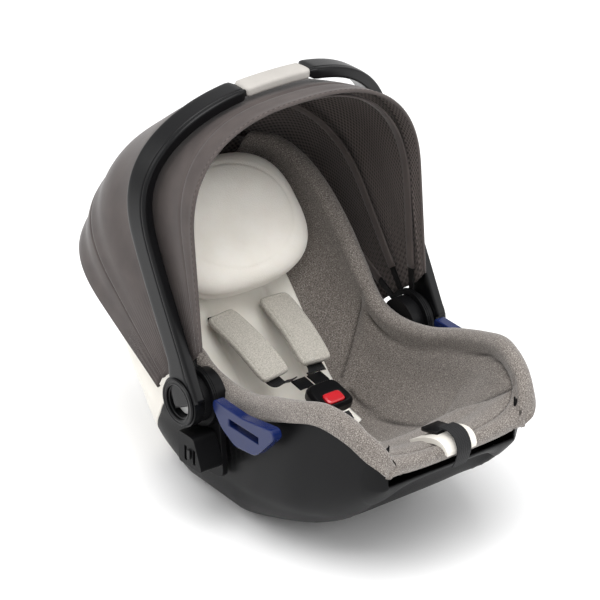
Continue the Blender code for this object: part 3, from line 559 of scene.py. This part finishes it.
WEB = ribbed_webbing()
BUCKLE = np.array((0.0, -0.047, -0.046))
under = np.array((0, -0.0032, 0.0082)) * 1.15   # from a strap up to the middle of its sleeve
for side, name in ((1, "left"), (-1, "right")):
    top, end = np.array((0.046 * side, 0.139, 0.020)), np.array((0.035 * side, 0.022, -0.031))
    sleeve = strap_sleeve(f"shoulder_sleeve_{name}", top, end)
    sleeve.data.materials.append(TWILL)
    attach(sleeve, "shell")
    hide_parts(f"shoulder_pad_{name}")
    tongue = BUCKLE + (0.0135 * side, 0.040, 0.010)
    band = webbing(f"harness_webbing_{name}",
                   [top + (0, 0.004, 0.004) - under, top - under,
                    (top + end) / 2 + (0, -0.003, 0.004) - under, end - under,
                    tongue + (0.004 * side, 0.012, 0.004)], 0.025, 0.0016)
    band.data.materials.append(WEB)
    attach(band, "shell")
    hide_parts(f"harness_strap_{name}")
for name, node_name, route, width, thickness in (
        ("crotch_webbing", "crotch_strap",
         [(0, -0.082, -0.122), (0, -0.084, -0.105), (0, -0.088, -0.080), (0, -0.086, -0.066),
          (0, -0.0745, -0.0575)], 0.028, 0.0020),
        ("adjuster_webbing", "adjuster_strap",
         [(0, -0.294, 0.0215), (0, -0.310, 0.0235), (0, -0.323, 0.0185), (0, -0.3305, 0.004),
          (0, -0.3275, -0.012), (0, -0.3205, -0.026)], 0.024, 0.0018),
        ("inner_pull_webbing", "harness_pull_strap",
         [(0, 0.148, -0.101), (0, 0.106, -0.156), (0, 0.030, -0.179), (0, -0.060, -0.174),
          (0, -0.150, -0.140), (0, -0.218, -0.099), (0, -0.250, -0.066)], 0.026, 0.0018)):
    band = webbing(name, route, width, thickness)
    band.data.materials.append(WEB)
    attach(band, "shell")
    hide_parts(node_name)


# ---- Moulded shells -----------------------------------------------------------------------------
# The rocker tub is black polypropylene and the back shell off-white. They meet along a slanted
# joint behind the hubs. The tub's flank has a soft crease and a fan of ribs under each hub.
SHELL_STATIONS = [  # bottom y and z, and the belly's bulge past the rim
    (-0.300, -0.030, 0.000), (-0.290, -0.046, 0.000), (-0.272, -0.073, 0.002),
    (-0.240, -0.103, 0.005), (-0.198, -0.131, 0.008), (-0.150, -0.153, 0.011),
    (-0.090, -0.174, 0.012), (-0.030, -0.190, 0.014), (0.030, -0.190, 0.016),
    (0.090, -0.190, 0.016), (0.160, -0.160, 0.014), (0.212, -0.095, 0.010),
    (0.250, -0.045, 0.006), (0.290, 0.005, 0.004), (0.320, 0.055, 0.003),
    (0.331, 0.105, 0.002),
]
SHELL_ROUNDNESS = 5.0
SHELL_WALL = 0.003
JOINT_POINT, JOINT_NORMAL = np.array((0, 0.070, 0.0)), np.array((0, 0.8517, 0.5241))


def shell_surface(count, steps):
    """Sections from the front to the head end: superellipses with a flat middle that is let
    down softly, as wide as the cover's rim plus a belly."""
    at = np.linspace(2.1, 14.5, count)
    angle = np.linspace(0, np.pi / 2, steps)
    reach = (np.cos(angle)**SHELL_ROUNDNESS + np.sin(angle)**SHELL_ROUNDNESS)**(-1 / SHELL_ROUNDNESS)
    across, up = reach * np.sin(angle), 1 - reach * np.cos(angle)
    up = up * np.clip((across - 0.25) / 0.12, 0, 1)
    rows = []
    for (cy, cz, ry, rz, half, _), (by, bz, belly) in zip(through(COVER_STATIONS, at),
                                                          through(SHELL_STATIONS, at)):
        bz = max(bz, -AXLE[2])
        lean = unit(np.array([ry - cy, rz - cz]))
        rise = np.array([ry, rz]) - lean * 0.011 - (by, bz)
        width = half + SHELL_WALL / 2 + belly * (1 - up)
        x = np.concatenate([-(across * width)[:0:-1], across * width])
        w = np.concatenate([up[:0:-1], up])
        rows.append(np.stack([x, by + rise[0] * w, bz + rise[1] * w], 1))
    return np.array(rows)


def flank_relief(grid):
    """How far the flank stands back: a step under the crease, and ribs that fan from the hub."""
    x, y, z = grid[..., 0], grid[..., 1], grid[..., 2]
    flank = np.clip((np.abs(x) - 0.120) / 0.02, 0, 1)
    crease = -0.118 + 0.10 * np.clip(-y - 0.08, 0, 1) + 0.25 * np.clip(y + 0.02, 0, 1)
    step = 0.0028 / (1 + np.exp((z - crease) / 0.0035)) * flank
    step = step * np.clip((z + AXLE[2] - 0.012) / 0.02, 0, 1)
    away = np.hypot(y, z)
    bearing = np.degrees(np.arctan2(y + 0.01, -z))
    fan = np.clip((away - 0.046) / 0.006, 0, 1) * np.clip((0.104 - away) / 0.01, 0, 1)
    fan = fan * np.clip((40 - np.abs(bearing + 38)) / 4, 0, 1) * flank * (z < 0)
    ribs = 0.0016 * fan * (np.cos(np.radians(bearing) * 42) < 0.25)
    return step + ribs


def moulded(name, colour, roughness, grain, coat=0.0, shine=0.5):
    """Injection-moulded plastic: fine spark grain in the bump, and a slow drift in the gloss."""
    material, tree, principled = finish(name, colour, roughness, Coat_Weight=coat,
                                        Coat_Roughness=0.15, Specular_IOR_Level=shine)
    place = node(tree, "ShaderNodeTexCoord").outputs["Object"]
    spark = node(tree, "ShaderNodeTexNoise", {"Vector": place, "Scale": 1400.0, "Detail": 2.0})
    drift = node(tree, "ShaderNodeTexNoise", {"Vector": place, "Scale": 18.0, "Detail": 4.0})
    gloss = node(tree, "ShaderNodeMapRange", {"Value": drift.outputs["Fac"],
                                              "To Min": roughness * 0.88, "To Max": roughness * 1.12})
    tree.links.new(gloss.outputs["Result"], principled.inputs["Roughness"])
    dark, light = np.array(colour) * 0.93, np.minimum(np.array(colour) * 1.07, 1)
    tone = shades(tree, drift.outputs["Fac"], [(0.3, tuple(dark)), (0.7, tuple(light))])
    tree.links.new(tone, principled.inputs["Base Color"])
    raise_bump(tree, principled, spark.outputs["Fac"], grain, 0.5)
    return material


BLACK = moulded("black_polypropylene", (0.0045, 0.0045, 0.005), 0.42, 0.0002, shine=0.12)
WHITE = moulded("off_white_shell", (0.72, 0.69, 0.63), 0.34, 0.0001, coat=0.1)

surface = shell_surface(230, 64)
surface = surface + flank_relief(surface)[..., None] * square_off(surface)
ahead = np.clip((-surface[..., 1] - 0.19) / 0.08, 0, 1)
arched = 0.036 * ahead**2 * (3 - 2 * ahead) * np.clip(1 - (np.abs(surface[..., 0]) / 0.105)**4, 0, 1)
surface[..., 2] += arched                       # the underside rises between the two runners
toe_row = surface[:1]
toe = np.linspace(1, 0, 15)[:-1, None, None]     # the nose rises under the cover's front lip
toe_top = np.concatenate([toe_row[..., :1] * 0.80, 0 * toe_row[..., :1] - 0.305,
                          np.maximum(toe_row[..., 2:], -0.028)], -1)
surface = np.concatenate([toe_row + (toe_top - toe_row) * np.sin(toe * np.pi / 2) ** 1.3
                          - (0, 0, 0.006) * np.sin(np.pi * toe), surface])
for name, node_name, side, material, slot in (
        ("tub_shell", "lower_shell", -1, BLACK, "black_plastic"),
        ("back_shell", "rear_shell", 1, WHITE, "white_plastic")):
    shell = skin(name, surface)
    cut = bmesh.new()
    cut.from_mesh(shell.data)
    bmesh.ops.bisect_plane(cut, geom=cut.verts[:] + cut.edges[:] + cut.faces[:], dist=1e-6,
                           plane_co=JOINT_POINT + AXLE + JOINT_NORMAL * side * 0.0006,
                           plane_no=JOINT_NORMAL, clear_inner=side > 0, clear_outer=side < 0)
    cut.to_mesh(shell.data)
    cut.free()
    wall(shell, SHELL_WALL)
    shell.data.materials.append(material)
    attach(shell, "shell")
    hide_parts(node_name)


# ---- Carry handle -------------------------------------------------------------------------------
# One black arch from hub to hub: it leans back, then turns upright over the canopy. A fine
# groove follows its front edge. A soft grey sleeve is moulded round the middle of the bar.
HANDLE_HALF = ring_low.x - 0.0003
HANDLE_TOP, HANDLE_SHOULDER, HANDLE_ROUNDNESS = 0.3917, 0.2014, 2.52
GRIP_HALF = 0.058


def handle_line(count):
    """The front outer edge: straight legs, then a superellipse arch, in a plane that leans back
    and bends upright. Returns the edge with its inward and backward directions."""
    leg = np.linspace(0.012, HANDLE_SHOULDER, count // 4)[:-1]
    t = np.linspace(0, 1, count)
    angle = np.pi * (t + 0.045 * np.sin(4 * np.pi * t))
    c, s = np.cos(angle), np.sin(angle)
    x = HANDLE_HALF * np.sign(c) * np.abs(c)**(2 / HANDLE_ROUNDNESS)
    z = HANDLE_SHOULDER + (HANDLE_TOP - HANDLE_SHOULDER) * np.abs(s)**(2 / HANDLE_ROUNDNESS)
    x = np.concatenate([np.full(len(leg), HANDLE_HALF), x, np.full(len(leg), -HANDLE_HALF)])
    z = np.concatenate([leg, z, leg[::-1]])
    slope, upper, turn, softness = 0.5294, -0.3186, 0.2675, 0.030
    y = -0.0455 + slope * z + (upper - slope) * softness * np.log1p(np.exp((z - turn) / softness))
    edge = np.stack([x, y, z], 1)
    ahead = unit(np.gradient(edge, axis=0))
    inward = unit(np.stack([-ahead[:, 2], 0 * x, ahead[:, 0]], 1))
    back = np.cross(inward, ahead)
    return edge, inward, back * np.sign(back[:, 1:2])


def carried_section(line, start, width, depth, sink, squareness, groove_depth):
    """A rounded rectangle carried along the edge line; its outer face has one fine groove."""
    edge, inward, back = line
    turn = np.linspace(0, 2 * np.pi, 193)[:-1]
    u = 0.5 + 0.5 * np.sign(np.cos(turn)) * np.abs(np.cos(turn))**(2 / squareness)
    v = 0.5 - 0.5 * np.sign(np.sin(turn)) * np.abs(np.sin(turn))**(2 / squareness)
    cut = groove_depth * groove(u - 0.17, 0.030) * (v < 0.3)
    wide = start[:, None] + width[:, None] * u[None]
    deep = sink[:, None] + depth[:, None] * v[None] + cut[None]
    return edge[:, None] + back[:, None] * wide[..., None] + inward[:, None] * deep[..., None]


line = handle_line(200)
height = line[0][:, 2]
near_grip = 1 / (1 + np.exp((np.abs(line[0][:, 0]) - GRIP_HALF - 0.001) / 0.0012))
foot = np.clip((0.075 - height) / 0.05, 0, 1)
foot = foot * foot * (3 - 2 * foot)
arch = carried_section(line, 0.0065 * near_grip, 0.040 + 0.018 * foot - 0.014 * near_grip,
                       0.0170 - 0.0065 * near_grip, 0.0035 * near_grip, 6.0, 0.0009)
handle_arch = skin("handle_arch", arch, ring=True)
SATIN = moulded("satin_black", (0.0035, 0.0035, 0.004), 0.30, 0.0001, shine=0.20)
handle_arch.data.materials.append(SATIN)
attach(handle_arch, "handle")
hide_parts("handle_bar")

held = np.abs(line[0][:, 0]) < GRIP_HALF
grip_line = tuple(part[held] for part in line)
run = np.linspace(-1, 1, held.sum())
close = (1 - np.abs(run)**16)**(1 / 16)
close = 0.70 + 0.30 * close
middle = 0.0030 + 0.0165
sleeve = carried_section(grip_line, middle - 0.0165 * close, 0.0330 * close, 0.0165 * close,
                         0.00825 * (1 - close), 3.6, 0.0)
handle_grip_sleeve = skin("handle_grip_sleeve", sleeve, ring=True)
SOFT_GRIP = moulded("soft_grip", (0.40, 0.38, 0.355), 0.72, 0.0006, shine=0.3)
handle_grip_sleeve.data.materials.append(SOFT_GRIP)
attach(handle_grip_sleeve, "handle")
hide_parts("handle_grip")


# ---- Hubs ---------------------------------------------------------------------------------------
# Each hub has the arm's disc, a raised trim ring and a pale push button in the middle. Behind
# them a toothed lock gear and a spring sit in the drum fixed to the shell.
def turned(name, profile, side):
    """A closed profile of (radius, distance out along x) points, turned round the axle."""
    profile = np.asarray(profile, float)
    closed = np.vstack([profile, profile[:1]])
    at = np.linspace(0, len(closed) - 1, (len(closed) - 1) * 6 + 1)[:-1]
    whole = np.minimum(at.astype(int), len(closed) - 2)
    part = (at - whole)[:, None]
    radius, out = (closed[whole] * (1 - part) + closed[whole + 1] * part).T
    turn = np.linspace(0, 2 * np.pi, 121)[:-1, None]
    grid = np.stack([out[None] * side + 0 * turn, radius[None] * np.cos(turn),
                     radius[None] * np.sin(turn)], -1)
    grid = np.concatenate([grid, grid[:1]])
    piece = skin(name, np.concatenate([grid, grid[:, :1]], axis=1), flip=side < 0)
    work = bmesh.new()
    work.from_mesh(piece.data)
    bmesh.ops.remove_doubles(work, verts=work.verts, dist=1e-6)
    bmesh.ops.recalc_face_normals(work, faces=work.faces)
    work.to_mesh(piece.data)
    work.free()
    piece.data.set_sharp_from_angle(angle=np.radians(40))
    return piece


for side, name in ((1, "left"), (-1, "right")):
    disc = turned(f"handle_hub_disc_{name}",
                  [(0.0216, 0.1992), (0.0220, 0.1986), (0.0350, 0.1986), (0.0358, 0.1994),
                   (0.0358, 0.2146), (0.0350, 0.2154), (0.0224, 0.2154), (0.0216, 0.2148)], side)
    disc.data.materials.append(SATIN)
    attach(disc, "handle")
    ring = turned(f"hub_trim_ring_{name}",
                  [(0.0242, 0.2162), (0.0246, 0.2159), (0.0330, 0.2159), (0.0334, 0.2163),
                   (0.0334, 0.2172), (0.0322, 0.2190), (0.0300, 0.2190), (0.0294, 0.2182),
                   (0.0272, 0.2182), (0.0262, 0.2190), (0.0248, 0.2186), (0.0242, 0.2180)], side)
    ring.data.materials.append(SATIN)
    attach(ring, "handle")
    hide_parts(f"hub_ring_{name}")


def eased(node_name, width, material, angle=32, segments=3):
    """The CAD piece again with its edges eased: its loose triangles merged, its flat faces
    joined, and a small rounded bevel on what turns more than the angle."""
    source = frame["nodes"][node_name]
    mesh = source.data.copy()
    mesh.materials.clear()
    work = bmesh.new()
    work.from_mesh(mesh)
    bmesh.ops.remove_doubles(work, verts=work.verts, dist=2e-6)
    bmesh.ops.dissolve_limit(work, angle_limit=np.radians(1.0), verts=work.verts, edges=work.edges)
    work.to_mesh(mesh)
    work.free()
    piece = bpy.data.objects.new(f"{node_name}_moulded", mesh)
    bpy.context.scene.collection.objects.link(piece)
    mesh.materials.append(material)
    mesh.shade_smooth()
    mesh.set_sharp_from_angle(angle=np.radians(angle))
    ease = piece.modifiers.new("eased_edges", "BEVEL")
    ease.width = width
    ease.segments = segments
    ease.limit_method = "ANGLE"
    ease.angle_limit = np.radians(angle)
    ease.harden_normals = False
    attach(piece, source["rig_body"])
    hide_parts(node_name)
    return piece


BUTTON_GREY = moulded("button_grey", (0.55, 0.55, 0.54), 0.30, 0.0001, coat=0.2)
RED = moulded("red_button", (0.52, 0.012, 0.020), 0.30, 0.0001, coat=0.3)
BLUE = moulded("dark_blue_guide", (0.004, 0.012, 0.072), 0.26, 0.0001, coat=0.15, shine=0.22)
for name in ("left", "right"):
    for node_name, width, material, slot in (
            (f"handle_button_{name}", 0.0010, BUTTON_GREY, "white_plastic"),
            (f"hub_drum_{name}", 0.0010, BLACK, "black_plastic"),
            (f"adapter_socket_{name}", 0.0016, BLACK, "black_plastic"),
            (f"adapter_catch_{name}", 0.0005, SATIN, "white_plastic"),
            (f"belt_guide_{name}", 0.0030, BLUE, "blue_plastic"),
            (f"buckle_tongue_{name}", 0.0004, BLACK, "black_plastic")):
        eased(node_name, width, material)
for node_name, width, material, slot in (
        ("buckle_body", 0.0012, SATIN, "black_plastic"), ("buckle_button", 0.0008, RED, "red_plastic"),
        ("adjuster_bezel", 0.0010, WHITE, "white_plastic"),
        ("adjuster_lever", 0.0008, SATIN, "black_plastic"),
        ("rear_release_lever", 0.0010, BLACK, "black_plastic")):
    eased(node_name, width, material)

# ---- Canopy -------------------------------------------------------------------------------------
# One continuous hood of taupe woven mesh from its bound front edge to the hem at the back. It
# hangs between three flat bows, and a piped seam joins the fixed rear panel. The inside is a
# smooth lining, with a sleeve sewn round each bow.
CANOPY_ARCHES = [  # foot y and z at the side, crown y and z, roundness, straight share
    (-0.018, 0.075, 0.010, 0.3755, 2.53, 0.50),
    (0.002, 0.052, 0.098, 0.3640, 2.55, 0.48),
    (0.026, 0.034, 0.184, 0.3290, 2.60, 0.46),
    (0.050, 0.015, 0.256, 0.2760, 2.70, 0.45),
    (0.070, -0.001, 0.3145, 0.2040, 2.65, 0.45),
    (0.077, -0.011, 0.3350, 0.1660, 2.70, 0.45),
    (0.082, -0.020, 0.3460, 0.1340, 2.75, 0.46),
]
CANOPY_HALF = 0.192
REAR_SEAM, BAND = 4.0, 0.42              # the rear seam and the front band's edge, in arches
BOW_ARCHES = (0.22, 1.75, 3.35)          # where the three bows carry the cloth, in arches


def hood(at, steps):
    """Arches from side to side: straight up from the foot, then a superellipse over the crown."""
    angle = np.linspace(0, np.pi / 2, steps)
    rows = []
    for fy, fz, cy, cz, power, straight in through(CANOPY_ARCHES, at):
        reach = (np.cos(angle)**power + np.sin(angle)**power)**(-1 / power)
        x = CANOPY_HALF * reach * np.cos(angle)
        up = straight + (1 - straight) * reach * np.sin(angle)
        leg = np.linspace(0, straight, steps // 2)[:-1]
        x = np.concatenate([np.full(len(leg), CANOPY_HALF), x])
        up = np.concatenate([leg, up])
        x = np.concatenate([x, -x[-2::-1]])
        up = np.concatenate([up, up[-2::-1]])
        rows.append(np.stack([x, fy + (cy - fy) * up, fz + (cz - fz) * up], 1))
    return np.array(rows)


def woven_mesh():
    """Taupe mesh: small dark dots on a slanted lattice over the cloth's UV map, and fine ribs. The front
    band is a lighter cloth, and the sunk seams get painted shade.
    """
    material, tree, principled = finish("woven_mesh", (0.080, 0.066, 0.061), 0.85,
                                        Sheen_Weight=0.05, Sheen_Roughness=0.4)
    coords = node(tree, "ShaderNodeTexCoord").outputs["UV"]
    turned_cloth = node(tree, "ShaderNodeMapping", {"Vector": coords, "Rotation": (0, 0, 0.785)})
    dots = node(tree, "ShaderNodeTexVoronoi", {"Vector": turned_cloth.outputs["Vector"],
                                               "Scale": 165.0, "Randomness": 0.0},
                voronoi_dimensions="2D")
    ribs = node(tree, "ShaderNodeTexWave", {"Vector": coords, "Scale": 55.0}, bands_direction="Y")
    tone = shades(tree, dots.outputs["Distance"],
                  [(0.14, (0.016, 0.012, 0.011)), (0.32, (0.080, 0.064, 0.059)),
                   (0.60, (0.165, 0.140, 0.130))])
    # The panel attribute lightens the front band's own cloth and paints shade into the sunk seams.
    panel = node(tree, "ShaderNodeAttribute", attribute_name="panel")
    tone_and_seam_shade = shades(tree, panel.outputs["Fac"], [(0.0, (0.30, 0.28, 0.28)), (0.5, (0.62, 0.61, 0.61)),
                                               (1.0, (1.0, 1.0, 1.0))])
    tree.links.new(times(tree, tone, tone_and_seam_shade), principled.inputs["Base Color"])
    height = node(tree, "ShaderNodeMath", {0: dots.outputs["Distance"], 1: ribs.outputs["Fac"]},
                  operation="ADD")
    raise_bump(tree, principled, height.outputs["Value"], 0.0004, 0.6)
    return material


def smooth_lining():
    """Brown lining: close plain weave with a faint sheen."""
    material, tree, principled = finish("smooth_lining", (0.060, 0.048, 0.044), 0.72,
                                        Sheen_Weight=0.25, Sheen_Roughness=0.35)
    place = node(tree, "ShaderNodeTexCoord").outputs["Object"]
    slow = node(tree, "ShaderNodeTexNoise", {"Vector": place, "Scale": 30.0, "Detail": 4.0})
    fine = node(tree, "ShaderNodeTexNoise", {"Vector": place, "Scale": 900.0, "Detail": 2.0})
    tone = shades(tree, slow.outputs["Fac"], [(0.3, (0.044, 0.034, 0.032)), (0.7, (0.062, 0.049, 0.045))])
    tree.links.new(tone, principled.inputs["Base Color"])
    raise_bump(tree, principled, fine.outputs["Fac"], 0.0003, 0.5)
    return material


def hood_relief(at, grid):
    """How far the cloth lies inside its widest shape: slack between bows, pulled at its seams."""
    slack = np.zeros_like(at)
    stops = (0.0, *BOW_ARCHES, REAR_SEAM, 6.0)
    for low, high in zip(stops[:-1], stops[1:]):
        inside = (at >= low) & (at <= high)
        slack = slack + inside * np.sin(np.pi * np.clip((at - low) / (high - low), 0, 1))**2 * (high - low)
    crown = np.clip((grid[..., 2] - 0.05) / 0.12, 0, 1)
    hanging = 0.0022 * slack[:, None] * crown
    seams = 0.0018 * (groove(at - BAND, 0.035) + groove(at - REAR_SEAM, 0.035))[:, None]
    from_foot = np.hypot(grid[..., 1], grid[..., 2])
    gathers = 0.0012 * np.sin(at[:, None] * 26) * np.clip((0.17 - from_foot) / 0.10, 0, 1)
    return 0.0004 + hanging + seams + np.abs(gathers)


arches = np.linspace(0, 6, 241)
hood_grid = hood(arches, 44)
outward = square_off(hood_grid)
if outward[0, hood_grid.shape[1] // 2, 2] < 0:
    outward = -outward
hood_cloth = hood_grid - hood_relief(arches, hood_grid)[..., None] * outward
canopy_fabric = skin("canopy_fabric", hood_cloth)
# Panel: 1 on the front band's lighter cloth, 0.5 on the hood, and dips towards 0 at the seams for painted
# shade.
panel = np.where(arches < BAND, 1.0, 0.5) * (1 - groove(arches - BAND, 0.020))
panel = panel * (1 - groove(arches - REAR_SEAM, 0.025))
panels = canopy_fabric.data.attributes.new("panel", "FLOAT", "POINT")
panels.data.foreach_set("value", np.repeat(panel, hood_cloth.shape[1]).astype(np.float32))
wall(canopy_fabric, 0.0018, lining=1)
MESH, LINING = woven_mesh(), smooth_lining()
canopy_fabric.data.materials.append(MESH)
canopy_fabric.data.materials.append(LINING)
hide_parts("canopy_hood", "canopy_rear_panel")
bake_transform(canopy_fabric)


def edge_cord(name, route, radius, material):
    """A round cord along a sewn edge: a circle carried along the route."""
    ahead = unit(np.gradient(route, axis=0))
    side = unit(np.cross(ahead, (0.0, 0.3, 1.0)))
    up = np.cross(side, ahead)
    turn = np.linspace(0, 2 * np.pi, 13)[:-1]
    ring = side[:, None] * np.cos(turn)[None, :, None] + up[:, None] * np.sin(turn)[None, :, None]
    cord = skin(name, route[:, None] + radius * ring, ring=True)
    cord.data.materials.append(material)
    return cord


for name, row, sink, body in (("canopy_front_piping", 0, 0.0009, "canopy_front"),
                              ("canopy_rear_piping", 160, 0.0006, "shell"),
                              ("canopy_hem_piping", 240, 0.0009, "shell")):
    route = (hood_cloth - sink * outward)[row]
    piping = edge_cord(name, route, 0.0023, LINING)
    if row == 0:
        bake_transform(piping)
    else:
        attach(piping, body)


def bow_sleeve(name, body, angle, layer, power):
    """A flat fabric tube round a bow: a superellipse carried along the bow's arch."""
    half, top = 0.1862 - 0.0030 * layer, 0.3650 - 0.0040 * layer
    shoulder = 0.185
    t = np.linspace(0, np.pi / 2, 60)
    reach = (np.cos(t)**power + np.sin(t)**power)**(-1 / power)
    leg = np.linspace(0.075, shoulder, 16)[:-1]
    x = np.concatenate([np.full(len(leg), half), half * reach * np.cos(t)])
    r = np.concatenate([leg, shoulder + (top - shoulder) * reach * np.sin(t)])
    x, r = np.concatenate([x, -x[-2::-1]]), np.concatenate([r, r[-2::-1]])
    flat = np.stack([x, 0 * x, r], 1)
    ahead = unit(np.gradient(flat, axis=0))
    side = np.tile((0.0, 1.0, 0.0), (len(x), 1))
    up = np.cross(side, ahead)
    turn = np.linspace(0, 2 * np.pi, 25)[:-1]
    across = np.sign(np.cos(turn)) * np.abs(np.cos(turn))**0.6 * 0.0072
    rise = np.sign(np.sin(turn)) * np.abs(np.sin(turn))**0.8 * 0.0021
    tube = flat[:, None] + side[:, None] * across[None, :, None] + up[:, None] * rise[None, :, None]
    back = np.radians(angle)
    turned_back = np.array([[1, 0, 0], [0, np.cos(back), np.sin(back)], [0, -np.sin(back), np.cos(back)]])
    piece = skin(name, tube @ turned_back.T, ring=True)
    piece.data.materials.append(LINING)
    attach(piece, body)


bow_sleeve("bow_sleeve_front", "canopy_front", 5, 0, 2.5)
bow_sleeve("bow_sleeve_middle", "canopy_middle", 35, 1, 2.5)
bow_sleeve("bow_sleeve_rear", "shell", 63, 2, 3.6)

# ---- Pieces carried over from the frame ---------------------------------------------------------
# Bows, gears, springs, the foam liner, the head pad's board and the strap's splitter plate keep
# their CAD form. Each gets the finish of its real material.
STEEL = moulded("spring_steel", (0.50, 0.50, 0.51), 0.28, 0.0001)
STEEL.node_tree.nodes["Principled BSDF"].inputs["Metallic"].default_value = 1.0
FOAM = moulded("bead_foam", (0.82, 0.82, 0.82), 0.85, 0.0012)
for node_name, piece in frame["nodes"].items():
    if piece.hide_render:
        continue
    if node_name.startswith("release_spring") or node_name == "splitter_plate":
        material = STEEL
    elif node_name == "foam_liner":
        material = FOAM
    else:
        material = BLACK
    piece.data.materials.clear()
    piece.data.materials.append(material)
